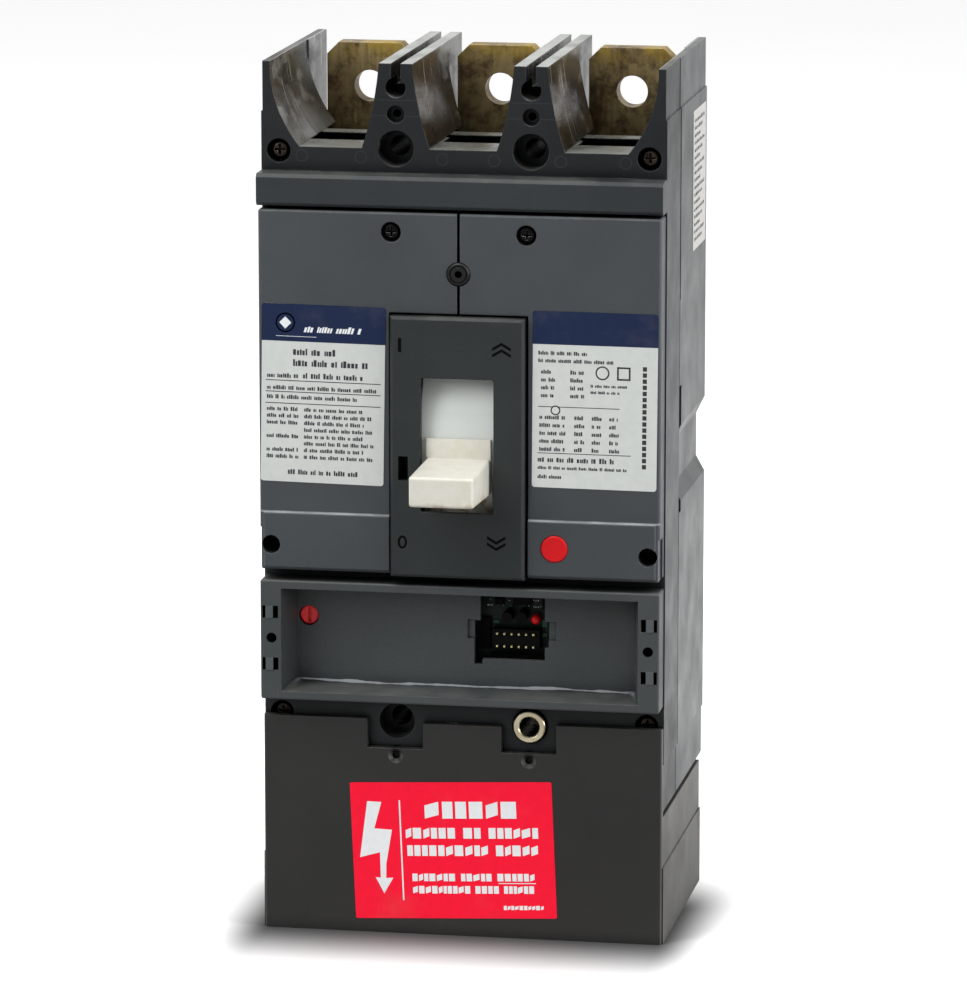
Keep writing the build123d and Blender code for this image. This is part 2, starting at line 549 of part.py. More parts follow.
with BuildPart() as trip_unit_cover:
    band_z = (BAND_LOW + BAND_HIGH) / 2
    recess_z = (RECESS_LOW + RECESS_HIGH) / 2
    with BuildSketch(face(DECK)):
        with Locations((0, band_z)):
            Rectangle(2 * BAND_SIDE, BAND_HIGH - BAND_LOW)
    extrude(amount=FRONT - DECK)
    fillet(edges().filter_by(Axis.X).sort_by(Axis.Y)[:2], BAND_ROUND)
    fillet(edges().filter_by(Axis.Z).sort_by(Axis.Y)[:2], BAND_ROUND)
    with BuildSketch(face(DECK)):
        with Locations((0, band_z)):
            Rectangle(2 * RECESS_HALF - 0.4, TRIP_OPEN_HIGH - TRIP_OPEN_LOW - 1.0)
    extrude(amount=RECESS_FLOOR - FLOOR_SKIN - DECK)
    # the recess tapers a little towards its floor
    with BuildSketch(face(FRONT)):
        with Locations((0, recess_z)):
            Rectangle(2 * RECESS_HALF, RECESS_HIGH - RECESS_LOW)
    with BuildSketch(face(RECESS_FLOOR)):
        with Locations((0, recess_z - 0.1)):
            RectangleRounded(2 * (RECESS_HALF - RECESS_TAPER), RECESS_HIGH - RECESS_LOW - 1.4, 2.0)
    loft(mode=Mode.SUBTRACT)
    # hollow behind the end rails
    with BuildSketch(face(DECK)):
        with Locations((-RAIL_HOLLOW_X, band_z), (RAIL_HOLLOW_X, band_z)):
            Rectangle(RAIL_HOLLOW_W, BAND_HIGH - BAND_LOW - 4)
    extrude(amount=FRONT - RAIL_SKIN - DECK, mode=Mode.SUBTRACT)
    with BuildSketch(face(FRONT - 0.5)):
        for snap_z in SNAP_Z:
            with Locations((SNAP_PAD_X, snap_z), (-SNAP_PAD_X, snap_z)):
                Rectangle(SNAP_PAD_W, SNAP_H)
    extrude(amount=SNAP_PAD_RISE + 0.5)
    with BuildSketch(face(DECK)):
        with GridLocations(2 * RAIL_HOLE_X, 1, 2, 1):
            with Locations((0, RAIL_HOLE_Z)):
                Circle(RAIL_HOLE_R)
        for snap_z in SNAP_Z:
            with Locations((INNER_SNAP_X, snap_z), (-INNER_SNAP_X, snap_z)):
                Rectangle(INNER_SNAP_W, SNAP_H)
            with Locations((OUTER_SNAP_X, snap_z), (-OUTER_SNAP_X, snap_z)):
                Rectangle(OUTER_SNAP_W, SNAP_H)
    extrude(amount=FRONT - DECK, mode=Mode.SUBTRACT)
    # opening over the rating plug socket, with a finger relief on each side
    with BuildSketch(face(RECESS_FLOOR)):
        with BuildLine():
            Polyline(*PLUG_OPENING, close=True)
        make_face()
        with Locations((KNOB_X, KNOB_Z)):
            Circle(KNOB_HOLE_R)
    extrude(amount=-FLOOR_SKIN, mode=Mode.SUBTRACT)
    with BuildSketch(face(RECESS_FLOOR)):
        with Locations(*RELIEFS):
            Rectangle(RELIEF_W, RELIEF_H)
    extrude(amount=-RELIEF_DEPTH, mode=Mode.SUBTRACT)
write(trip_unit_cover, "trip_unit_cover")

# ---------------------------------------------------------------- lug cover
LUG_FACE = 97.0                 # front of the lug cover
LUG_LOW = -174.4
LUG_HIGH = -98.4
LUG_TAB = -99.5                 # middle tab stands a little lower
LUG_SIDE_TOP = -130.0
LUG_STEP = -147.5
LUG_BACK = 7.0
LUG_WALL = 3.0
LUG_SKIN = LUG_FACE - TERMINAL_FACE - 0.2
NOTCHES = ((-33.3, -13.6), (13.7, 33.0))
NOTCH_FLOOR = -108.6
LUG_SCREW_Z = -111.2
CABLE_R = 15.0
CABLE_Y = -36.0

with BuildPart() as lug_cover:
    with BuildSketch(face(LUG_BACK)):
        with Locations((0, (LUG_LOW + LUG_SIDE_TOP) / 2)):
            Rectangle(WIDTH - 0.3, LUG_SIDE_TOP - LUG_LOW)
    extrude(amount=LUG_FACE - LUG_BACK)
    with BuildSketch(face(LUG_FACE - LUG_SKIN)):
        with Locations((0, (LUG_LOW + LUG_HIGH) / 2)):
            Rectangle(WIDTH - 0.3, LUG_HIGH - LUG_LOW)
    extrude(amount=LUG_SKIN)
    with BuildSketch(face(LUG_BACK)):
        with Locations((0, (LUG_LOW + LUG_STEP) / 2)):
            Rectangle(WIDTH + 0.6, LUG_STEP - LUG_LOW)
    extrude(amount=LUG_FACE - 1.5 - LUG_BACK)
    fillet(edges().filter_by(Axis.Z).group_by(Axis.Y)[0], 1.0)
    # hollow inside, open to the case and to the rear
    inner_top = LUG_SIDE_TOP + 1
    with BuildSketch(face(0)):
        with Locations((0, (LUG_LOW + LUG_WALL + inner_top) / 2)):
            Rectangle(WIDTH - 2 * LUG_WALL, inner_top - LUG_LOW - LUG_WALL)
    extrude(amount=LUG_FACE - LUG_WALL, mode=Mode.SUBTRACT)
    with BuildSketch(face(LUG_FACE)):
        for low, high in NOTCHES:
            with Locations(((low + high) / 2, (NOTCH_FLOOR + LUG_HIGH + 1) / 2)):
                Rectangle(high - low, LUG_HIGH + 1 - NOTCH_FLOOR)
        with Locations(((NOTCHES[0][1] + NOTCHES[1][0]) / 2, (LUG_TAB + LUG_HIGH + 1) / 2)):
            Rectangle(NOTCHES[1][0] - NOTCHES[0][1], LUG_HIGH + 1 - LUG_TAB)
    extrude(amount=-LUG_SKIN - 1, mode=Mode.SUBTRACT)
    # screw holes with small countersinks
    with Locations(face(LUG_FACE)):
        with Locations((SEAMS[0], LUG_SCREW_Z), (SEAMS[1], LUG_SCREW_Z)):
            CounterSinkHole(1.3, 2.6, LUG_SKIN + 1, 90)
    # cable outlets in the lower wall
    with BuildSketch(Plane.XY.offset(LUG_LOW)):
        for pole in POLES:
            with Locations((pole, CABLE_Y)):
                Circle(CABLE_R)
    extrude(amount=LUG_WALL + 1, mode=Mode.SUBTRACT)
write(lug_cover, "lug_cover")

# ---------------------------------------------------------------- labels
LABEL_T = 0.15
LABEL_CORNER = 1.0


def label(centre, size, angle, height, corner):
    """A thin adhesive label lying on the plane at a height, turned by angle degrees."""
    with BuildPart() as sticker:
        with BuildSketch(face(height)):
            with Locations(Location((*centre, 0), (0, 0, angle))):
                RectangleRounded(*size, corner)
        extrude(amount=LABEL_T)
    return sticker


left_label = label((-47.0, 15.7), (42.8, 61.6), -0.9, SKIN_FRONT, LABEL_CORNER)
write(left_label, "left_label")
right_label = label((46.9, 16.3), (42.8, 60.6), -0.4, SKIN_FRONT, LABEL_CORNER)
write(right_label, "right_label")
warning_label = label((-3.0, -144.0), (70.8, 48.4), 2.5, LUG_FACE, 0.6)
write(warning_label, "warning_label")

with BuildPart() as side_label:
    with BuildSketch(across(HALF_W)):
        with Locations((-18.0, 82.0)):
            RectangleRounded(30.0, 49.0, 0.8)
    extrude(amount=LABEL_T)
write(side_label, "side_label")

# ---------------------------------------------------------------- conductors
STRAP_CHAMFER = 4.2
INNER_W = 16.0
FOOT_LOW, FOOT_HIGH = 18.0, 24.0
RISER_FRONT, RISER_BACK = 32.5, 26.5
RISER_TOP = 52.0
LOAD_INNER_TOP = -48.0
LOAD_INNER_W = 20.0
PAD_LOW, PAD_HIGH = 40.0, 50.0
PAD_GAP_PLANE = 35.45           # height of the fixed contact's face


def strap_end(x, end):
    """Outline of a terminal strap's outer end: a plate with two chamfered corners."""
    half, top = STRAP_W / 2, end * STRAP_TOP
    shoulder = end * (STRAP_TOP - STRAP_CHAMFER)
    foot = end * 92.5
    return [(x - half, foot), (x - half, shoulder), (x - half + STRAP_CHAMFER, top),
            (x + half - STRAP_CHAMFER, top), (x + half, shoulder), (x + half, foot)]


with BuildPart() as line_terminals:
    for pole in POLES:
        with BuildSketch(face(STRAP_BACK)):
            with BuildLine():
                Polyline(*strap_end(pole, 1), close=True)
            make_face()
        extrude(amount=STRAP_FRONT - STRAP_BACK)
        # inner run, foot and riser that carries the fixed contact
        with BuildSketch(across(pole - INNER_W / 2)):
            with BuildLine():
                Polyline((-STRAP_BACK, 93.0), (-STRAP_FRONT, 93.0), (-STRAP_FRONT, FOOT_HIGH),
                         (-RISER_BACK, FOOT_HIGH), (-RISER_BACK, RISER_TOP), (-RISER_FRONT, RISER_TOP),
                         (-RISER_FRONT, FOOT_LOW), (-STRAP_BACK, FOOT_LOW), close=True)
            make_face()
        extrude(amount=INNER_W)
        with BuildSketch(face(STRAP_BACK)):
            with Locations((pole, STRAP_HOLE_Z)):
                Circle(STRAP_HOLE_R)
        extrude(amount=STRAP_FRONT - STRAP_BACK, mode=Mode.SUBTRACT)
write(line_terminals, "line_terminals")

with BuildPart() as load_terminals:
    for pole in POLES:
        with BuildSketch(face(STRAP_BACK)):
            with BuildLine():
                Polyline(*strap_end(pole, -1), close=True)
            make_face()
            with Locations((pole, (LOAD_INNER_TOP - 93.0) / 2)):
                Rectangle(LOAD_INNER_W, LOAD_INNER_TOP + 93.0)
            with Locations((pole, -STRAP_HOLE_Z)):
                Circle(STRAP_HOLE_R, mode=Mode.SUBTRACT)
        extrude(amount=STRAP_FRONT - STRAP_BACK)
write(load_terminals, "load_terminals")

with BuildPart() as fixed_contacts:
    for pole in POLES:
        with BuildSketch(face(RISER_FRONT)):
            with Locations((pole, (PAD_LOW + PAD_HIGH) / 2)):
                Rectangle(10, PAD_HIGH - PAD_LOW)
        extrude(amount=PAD_GAP_PLANE - RISER_FRONT)
    chamfer(edges().group_by(Axis.Y)[0], 0.5)
write(fixed_contacts, "fixed_contacts")

# ---------------------------------------------------------------- load lugs
LUG_W = 29.0
LUG_TANG_T = 7.0
LUG_BODY_TOP, LUG_BODY_LOW = -131.5, -164.0
LUG_BODY_FRONT, LUG_BODY_BACK = 52.0, 19.0
WIRE_R = 12.0
WIRE_Y = -36.0
CLAMP_R = 7.0
BOLT_R = 4.5

with BuildPart() as load_lugs:
    for pole in POLES:
        with BuildSketch(across(pole - LUG_W / 2)):
            with BuildLine():
                Polyline((-STRAP_FRONT - 0.05, -103.0), (-STRAP_FRONT - LUG_TANG_T, -103.0),
                         (-STRAP_FRONT - LUG_TANG_T, LUG_BODY_TOP), (-LUG_BODY_FRONT, LUG_BODY_TOP),
                         (-LUG_BODY_FRONT, LUG_BODY_LOW), (-STRAP_FRONT - 0.05, LUG_BODY_LOW), close=True)
            make_face()
        extrude(amount=LUG_W)
        with BuildSketch(Plane.XY.offset(LUG_BODY_LOW)):
            with Locations((pole, WIRE_Y)):
                Circle(WIRE_R)
        extrude(amount=LUG_BODY_TOP - LUG_BODY_LOW - 2, mode=Mode.SUBTRACT)
        with BuildSketch(face(0)):
            with Locations((pole, -STRAP_HOLE_Z)):
                Circle(BOLT_R + 0.3)
        extrude(amount=STRAP_FRONT + LUG_TANG_T + 1, mode=Mode.SUBTRACT)
        with BuildSketch(face(-WIRE_Y)):
            with Locations((pole, (LUG_BODY_TOP + LUG_BODY_LOW) / 2)):
                Circle(CLAMP_R + 0.05)
        extrude(amount=LUG_BODY_FRONT + WIRE_Y + 1, mode=Mode.SUBTRACT)
write(load_lugs, "load_lugs")

with BuildPart() as lug_clamp_screws:
    for pole in POLES:
        with BuildSketch(face(LUG_BODY_FRONT - 8)):
            with Locations((pole, (LUG_BODY_TOP + LUG_BODY_LOW) / 2)):
                Circle(CLAMP_R)
        extrude(amount=16)
        with BuildSketch(face(LUG_BODY_FRONT + 8)):
            with Locations((pole, (LUG_BODY_TOP + LUG_BODY_LOW) / 2)):
                RegularPolygon(4.0, 6)
        extrude(amount=-7, mode=Mode.SUBTRACT)
    chamfer(edges().filter_by(GeomType.CIRCLE).group_by(Axis.Y)[0], 0.8)
write(lug_clamp_screws, "lug_clamp_screws")

with BuildPart() as lug_bolts:
    tang_face = STRAP_FRONT + LUG_TANG_T
    for pole in POLES:
        with BuildSketch(face(STRAP_BACK - 8)):
            with Locations((pole, -STRAP_HOLE_Z)):
                Circle(BOLT_R)
        extrude(amount=tang_face - STRAP_BACK + 8.5)
        with BuildSketch(face(tang_face + 0.02)):
            with Locations((pole, -STRAP_HOLE_Z)):
                RegularPolygon(7.4, 6)
        extrude(amount=5.5)
write(lug_bolts, "lug_bolts")

with BuildPart() as lug_nuts:
    for pole in POLES:
        with BuildSketch(face(STRAP_BACK - 7)):
            with Locations((pole, -STRAP_HOLE_Z)):
                RegularPolygon(7.4, 6)
                Circle(BOLT_R + 0.02, mode=Mode.SUBTRACT)
        extrude(amount=6.98)
write(lug_nuts, "lug_nuts")

# ---------------------------------------------------------------- arc chutes
CHUTE_PLATES = 8
CHUTE_FIRST, CHUTE_PITCH, CHUTE_PLATE_T = 41.0, 4.6, 1.5
CHUTE_LOW, CHUTE_HIGH, CHUTE_HALF = 34.0, 80.0, 13.4
CHUTE_SLOT_TOP, CHUTE_SLOT_R = 56.0, 7.5
CHUTE_WALL_T = 1.4
chute_depth = CHUTE_FIRST + (CHUTE_PLATES - 1) * CHUTE_PITCH + CHUTE_PLATE_T

with BuildPart() as arc_chute_plates:
    for pole in POLES:
        for i in range(CHUTE_PLATES):
            with BuildSketch(face(CHUTE_FIRST + i * CHUTE_PITCH)):
                with Locations((pole, (CHUTE_LOW + CHUTE_HIGH) / 2)):
                    Rectangle(2 * CHUTE_HALF, CHUTE_HIGH - CHUTE_LOW)
                with Locations((pole, (CHUTE_LOW + CHUTE_SLOT_TOP) / 2)):
                    Rectangle(2 * CHUTE_SLOT_R, CHUTE_SLOT_TOP - CHUTE_LOW, mode=Mode.SUBTRACT)
                with Locations((pole, CHUTE_SLOT_TOP)):
                    Circle(CHUTE_SLOT_R, mode=Mode.SUBTRACT)
            extrude(amount=CHUTE_PLATE_T)
write(arc_chute_plates, "arc_chute_plates")

with BuildPart() as arc_chute_walls:
    for pole in POLES:
        for hand in (1, -1):
            with BuildSketch(face(CHUTE_FIRST - 2)):
                with Locations((pole + hand * (CHUTE_HALF + 0.1 + CHUTE_WALL_T / 2),
                                (CHUTE_LOW + CHUTE_HIGH) / 2)):
                    Rectangle(CHUTE_WALL_T, CHUTE_HIGH - CHUTE_LOW)
            extrude(amount=chute_depth - CHUTE_FIRST + 4)
write(arc_chute_walls, "arc_chute_walls")

# ---------------------------------------------------------------- crossbar and contact arms
CROSSBAR_R = 9.0
CROSSBAR_HALF = 64.5
ARM_HALF = 6.0
ARM_THICK = 4.0                 # half thickness of a contact arm
ARM_TAIL, ARM_TIP = -12.0, 72.0
CHEEK_IN, CHEEK_OUT = 6.3, 9.0
ARM_PIN_R = 1.5
ARM_EYE_R, ARM_PIVOT_R = 7.0, 3.0
CHEEK_AT, CHEEK_SIZE = (-4.0, 8.0), (17.0, 34.0)      # in the crossbar's turned frame
BRIDGE_AT, BRIDGE_SIZE = (-13.5, 7.0), (2.6, 16.0)
TIP_T, TIP_L, TIP_W, TIP_AT = 2.4, 10.0, 10.0, 65.0   # moving contact tip
SPRING_Y = 11.0
SPRING_FOOT_Y, SPRING_L, SPRING_R, SPRING_WIRE = -11.7, 7.2, 2.5, 0.45

with BuildPart() as crossbar:
    with BuildSketch(turned(-CROSSBAR_HALF, CROSSBAR_AXIS, OPEN_ANGLE)):
        Circle(CROSSBAR_R)
    extrude(amount=2 * CROSSBAR_HALF)
    for seam in SEAMS:
        with BuildSketch(turned(seam - CHAMBER_WALL + 0.3, CROSSBAR_AXIS, OPEN_ANGLE)):
            Circle(JOURNAL_R)
        extrude(amount=2 * CHAMBER_WALL - 0.6)
    # a carrier in each pole: two cheeks joined in front by a bridge that backs the contact spring
    for pole in POLES:
        for x in (pole - CHEEK_OUT, pole + CHEEK_IN):
            with BuildSketch(turned(x, CROSSBAR_AXIS, OPEN_ANGLE)):
                with Locations(CHEEK_AT):
                    Rectangle(*CHEEK_SIZE)
                with Locations(ARM_PIN):
                    Circle(ARM_PIN_R + 0.03, mode=Mode.SUBTRACT)
            extrude(amount=CHEEK_OUT - CHEEK_IN)
        with BuildSketch(turned(pole - CHEEK_OUT, CROSSBAR_AXIS, OPEN_ANGLE)):
            with Locations(BRIDGE_AT):
                Rectangle(*BRIDGE_SIZE)
        extrude(amount=2 * CHEEK_OUT)
        # slot for the arm
        with BuildSketch(turned(pole - CHEEK_IN, CROSSBAR_AXIS, OPEN_ANGLE)):
            with Locations((0, 0)):
                Rectangle(2 * CROSSBAR_R + 2, 2 * CROSSBAR_R + 2)
        extrude(amount=2 * CHEEK_IN, mode=Mode.SUBTRACT)
write(crossbar, "crossbar")

with BuildPart() as contact_arms:
    for pole in POLES:
        with BuildSketch(turned(pole - ARM_HALF, CROSSBAR_AXIS, OPEN_ANGLE)):
            with Locations((0, (ARM_TIP + ARM_TAIL) / 2)):
                Rectangle(2 * ARM_THICK, ARM_TIP - ARM_TAIL)
            Circle(ARM_EYE_R)
            Circle(ARM_PIVOT_R + 0.05, mode=Mode.SUBTRACT)
        extrude(amount=2 * ARM_HALF)
write(contact_arms, "contact_arms")

with BuildPart() as contact_arm_pins:
    for pole in POLES:
        with BuildSketch(turned(pole - CHEEK_IN + 0.02, CROSSBAR_AXIS, OPEN_ANGLE)):
            Circle(ARM_PIVOT_R)
        extrude(amount=2 * CHEEK_IN - 0.04)
write(contact_arm_pins, "contact_arm_pins")

with BuildPart() as moving_contacts:
    for pole in POLES:
        with BuildSketch(turned(pole - TIP_W / 2, CROSSBAR_AXIS, OPEN_ANGLE)):
            with Locations((ARM_THICK + TIP_T / 2, TIP_AT)):
                Rectangle(TIP_T, TIP_L)
        extrude(amount=TIP_W)
write(moving_contacts, "moving_contacts")


def coil(start, direction, length, radius, wire, turns):
    """A round-wire compression or tension spring along direction from start."""
    with BuildPart() as spring:
        with BuildLine() as path:
            Helix(pitch=length / turns, height=length, radius=radius)
        with BuildSketch(Plane(origin=path.line @ 0, z_dir=path.line % 0)):
            Circle(wire)
        sweep()
    return Plane(origin=start, z_dir=direction).location * spring.part


lean = math.radians(OPEN_ANGLE)


def carried(x, point):
    """A point (forward, along) in the crossbar's turned frame, given in the row frame."""
    u, v = point
    return (x, CROSSBAR_AXIS[0] + u * math.cos(lean) - v * math.sin(lean),
            CROSSBAR_AXIS[1] + u * math.sin(lean) + v * math.cos(lean))


spring_direction = (0, math.cos(lean), math.sin(lean))
contact_coils = [coil(carried(pole, (SPRING_FOOT_Y, SPRING_Y)), spring_direction, SPRING_L, SPRING_R,
                      SPRING_WIRE, 4) for pole in POLES]
with BuildPart() as contact_springs:
    add(contact_coils)
write(contact_springs, "contact_springs")

# ---------------------------------------------------------------- braids from arms to load straps
BRAID_W = 10.0
BRAID_FRONT = ((-30.5, -38), (-26, -46), (-22.6, -54))   # (Y, Z) along its front, down to the strap
BRAID_BACK = ((-21.1, -54), (-22.6, -46), (-27.4, -37))

with BuildPart() as flexible_braids:
    tail = carried(0, (ARM_THICK + 0.4, ARM_TAIL + 2))[1:]
    tail_back = (tail[0] + 1.2, tail[1] + 1.6)
    for pole in POLES:
        with BuildSketch(across(pole - BRAID_W / 2)):
            with BuildLine():
                Spline(tail, *BRAID_FRONT)
                Line(BRAID_FRONT[-1], BRAID_BACK[0])
                Spline(*BRAID_BACK, tail_back)
                Line(tail_back, tail)
            make_face()
        extrude(amount=BRAID_W)
        # the braid is flattened where it lies against the tail of the arm
        with BuildSketch(turned(pole - 6, CROSSBAR_AXIS, OPEN_ANGLE)):
            with Locations((0, (ARM_TIP + ARM_TAIL) / 2)):
                Rectangle(2 * ARM_THICK + 0.1, ARM_TIP - ARM_TAIL + 0.1)
            Circle(ARM_EYE_R + 0.1)
        extrude(amount=12, mode=Mode.SUBTRACT)
write(flexible_braids, "flexible_braids")

# ---------------------------------------------------------------- current transformers
CT_LOW, CT_LENGTH = -73.5, 17.0
CT_Y, CT_W, CT_DEPTH = -19.8, 37.0, 26.4
CT_WINDOW_Y, CT_WINDOW_W, CT_WINDOW_DEPTH = -17.0, 22.0, 10.0
CT_ROUND = 1.5

with BuildPart() as current_transformers:
    for pole in POLES:
        with BuildSketch(Plane.XY.offset(CT_LOW)):
            with Locations((pole, CT_Y)):
                Rectangle(CT_W, CT_DEPTH)
            with Locations((pole, CT_WINDOW_Y)):
                Rectangle(CT_WINDOW_W, CT_WINDOW_DEPTH, mode=Mode.SUBTRACT)
        extrude(amount=CT_LENGTH)
    fillet(edges().filter_by(Axis.Z), CT_ROUND)
write(current_transformers, "current_transformers")

# ---------------------------------------------------------------- operating mechanism
FRAME_IN, FRAME_OUT = 16.8, 18.8
YOKE_IN, YOKE_OUT = 14.4, 16.4
CRADLE_IN, CRADLE_OUT = 11.8, 13.8
UPPER_IN, UPPER_OUT = 1.5, 3.2
LOWER_IN, LOWER_OUT = 3.5, 5.2
PIN_R = 1.6
CRADLE_PIN_R = 1.98
LATCH_PIN_R = 2.4
LINK_R = 3.6
KNEE_CLEARANCE = 3.5            # the lower links turn outside the upper ones' ends with this eye radius
KNEE_RIM = 1.9
LOWER_LINK_R = 4.0
KNEE_PIN_HALF = 11.0
FRAME_LOW, FRAME_HIGH, FRAME_TOP, FRAME_FOOT = -41.6, 42.0, 84.0, 33.0

with BuildPart() as mechanism_frames:
    for x in (-FRAME_OUT, FRAME_IN):
        with BuildSketch(across(x)):
            with Locations((-(FRAME_TOP + FRAME_FOOT) / 2, (FRAME_LOW + FRAME_HIGH) / 2)):
                RectangleRounded(FRAME_TOP - FRAME_FOOT, FRAME_HIGH - FRAME_LOW, 4)
            with Locations(CROSSBAR_AXIS):
                Circle(CROSSBAR_R + 3, mode=Mode.SUBTRACT)
            with Locations((CROSSBAR_AXIS[0] + 8, CROSSBAR_AXIS[1])):
                Rectangle(16, 2 * CROSSBAR_R + 6, mode=Mode.SUBTRACT)
            with Locations(HANDLE_PIVOT):
                Circle(2.56, mode=Mode.SUBTRACT)
            with Locations(CRADLE_PIVOT):
                Circle(CRADLE_PIN_R + 0.02, mode=Mode.SUBTRACT)
            with Locations(LATCH_PIVOT):
                Circle(LATCH_PIN_R + 0.1, mode=Mode.SUBTRACT)
        extrude(amount=FRAME_OUT - FRAME_IN)
write(mechanism_frames, "mechanism_frames")

with BuildPart() as cradle_pins:
    for x in (-FRAME_OUT, CRADLE_IN):
        with BuildSketch(across(x)):
            with Locations(CRADLE_PIVOT):
                Circle(CRADLE_PIN_R)
        extrude(amount=FRAME_OUT - CRADLE_IN)
write(cradle_pins, "cradle_pins")

NOSE = (-76.0, -30.0)           # bar across the cradle that rests on the latch
LATCH_IN, LATCH_OUT = 12.7, 15.7
SWING = 8.0                     # how far the cradle turns when the breaker trips
slot_radius = math.dist(CRADLE_PIVOT, UPPER_PIN)
slot_angle = math.degrees(math.atan2(UPPER_PIN[1] - CRADLE_PIVOT[1], UPPER_PIN[0] - CRADLE_PIVOT[0]))

with BuildPart() as cradle:
    for x in (-CRADLE_OUT, CRADLE_IN):
        with BuildSketch(across(x)):
            with BuildLine():
                Polyline((-62.5, 33.0), (-70.0, 33.0), (-82.5, 16.0), (-81.0, 4.0), (-77.2, -31.6),
                         (-73.5, -31.6), (-70.5, 2.0), (-61.5, 25.0), close=True)
            make_face()
            with Locations(CRADLE_PIVOT):
                Circle(CRADLE_PIN_R + 0.07, mode=Mode.SUBTRACT)
            # the link pin stands still while the cradle swings away, so its hole is an arc
            for step in range(5):
                angle = math.radians(slot_angle + SWING * step / 4)
                with Locations((CRADLE_PIVOT[0] + slot_radius * math.cos(angle),
                                CRADLE_PIVOT[1] + slot_radius * math.sin(angle))):
                    Circle(PIN_R + 0.25, mode=Mode.SUBTRACT)
        extrude(amount=CRADLE_OUT - CRADLE_IN)
    with Locations((0, NOSE[0], NOSE[1])):
        Box(2 * LATCH_OUT, 4.0, 3.0)
write(cradle, "cradle")

with BuildPart() as latch:
    hook_top = NOSE[1] - 0.9     # the hooks stand just in front of the bar
    for x in (-LATCH_OUT, LATCH_IN):
        with BuildSketch(across(x)):
            with BuildLine():
                Polyline((-59.5, -35.6), (-79.0, -35.0), (-79.0, hook_top), (-81.5, hook_top),
                         (-81.5, -38.0), (-66.0, -39.5), (-61.0, -40.6), (-59.5, -39.5), close=True)
            make_face()
        extrude(amount=LATCH_OUT - LATCH_IN)
    with BuildSketch(across(-FRAME_OUT)):
        with Locations(LATCH_PIVOT):
            Circle(LATCH_PIN_R)
    extrude(amount=2 * FRAME_OUT)
    with Locations((0, -62.0, -40.0)):
        Box(2 * LATCH_IN + 1, 4.0, 1.2)
write(latch, "latch")


def polar(origin, length, degrees):
    """The point (Y, Z) at a distance and angle from origin, measured from +Y towards +Z."""
    a = math.radians(degrees)
    return (origin[0] + length * math.cos(a), origin[1] + length * math.sin(a))


arm_pin_open = carried(0, ARM_PIN)[1:]
reach = math.dist(UPPER_PIN, arm_pin_open)
toward = math.degrees(math.atan2(arm_pin_open[1] - UPPER_PIN[1], arm_pin_open[0] - UPPER_PIN[0]))
knee_angle = math.degrees(math.acos((UPPER_LINK**2 + reach**2 - LOWER_LINK**2) / (2 * UPPER_LINK * reach)))
KNEE = polar(UPPER_PIN, UPPER_LINK, toward - knee_angle)


def bar(first, second, radius):
    """Centre, size and turn of a round-ended link between two points, for SlotCenterToCenter."""
    centre = ((first[0] + second[0]) / 2, (first[1] + second[1]) / 2)
    turn = math.degrees(math.atan2(second[1] - first[1], second[0] - first[0]))
    return Location((*centre, 0), (0, 0, turn)), math.dist(first, second), 2 * radius


with BuildPart() as upper_links:
    place, length, height = bar(UPPER_PIN, KNEE, LINK_R)
    for x in (-UPPER_OUT, UPPER_IN):
        with BuildSketch(across(x)):
            with Locations(place):
                SlotCenterToCenter(length, height)
        extrude(amount=UPPER_OUT - UPPER_IN)
    for point, half in ((UPPER_PIN, CRADLE_OUT - 0.1), (KNEE, KNEE_PIN_HALF)):
        with BuildSketch(across(-half)):
            with Locations(point):
                Circle(PIN_R)
        extrude(amount=2 * half)
write(upper_links, "upper_links")

with BuildPart() as lower_links:
    place, length, height = bar(KNEE, arm_pin_open, LOWER_LINK_R)
    for x in (-LOWER_OUT, LOWER_IN):
        with BuildSketch(across(x)):
            with Locations(KNEE):
                Circle(KNEE_CLEARANCE + KNEE_RIM)
            with Locations(place):
                SlotCenterToCenter(length, height)
            with Locations(KNEE):
                Circle(KNEE_CLEARANCE, mode=Mode.SUBTRACT)
        extrude(amount=LOWER_OUT - LOWER_IN)
    with BuildSketch(across(-CHEEK_OUT)):
        with Locations(arm_pin_open):
            Circle(ARM_PIN_R)
    extrude(amount=2 * CHEEK_OUT)
write(lower_links, "lower_links")

# ---------------------------------------------------------------- handle, its yoke and dust shield
SHIELD_OUT, SHIELD_IN = 43.7, 42.4
SHIELD_WIDE = (143, 222, 13.4)  # from angle, to angle, half width
SHIELD_NARROW = (221, 241, 12.3)  # this end passes between the latch arms
SKIRT_OUT, SKIRT_IN = 45.2, 43.9
SKIRT_FROM, SKIRT_TO = 177.7, 216.0
YOKE_ARC = (182.0, 206.0)       # the yoke's crosspiece, from and to
YOKE_PIVOT_R = 2.5
NECK_W, NECK_H = 16.0, 12.0
NECK_GAP = 0.2
YOKE_REST = 194.0               # direction of the yoke from the handle pivot, degrees from +Y
YOKE_LOW_R, YOKE_HIGH_R = 36.0, 38.0
HANDLE_W = 22.0


def arc_band(inner, outer, start, end):
    """Six corners and midpoints of a band between two radii and two angles about the handle pivot."""
    middle = (start + end) / 2
    a, b, c = (polar(HANDLE_PIVOT, inner, t) for t in (start, middle, end))
    d, e, f = (polar(HANDLE_PIVOT, outer, t) for t in (end, middle, start))
    return a, b, c, d, e, f


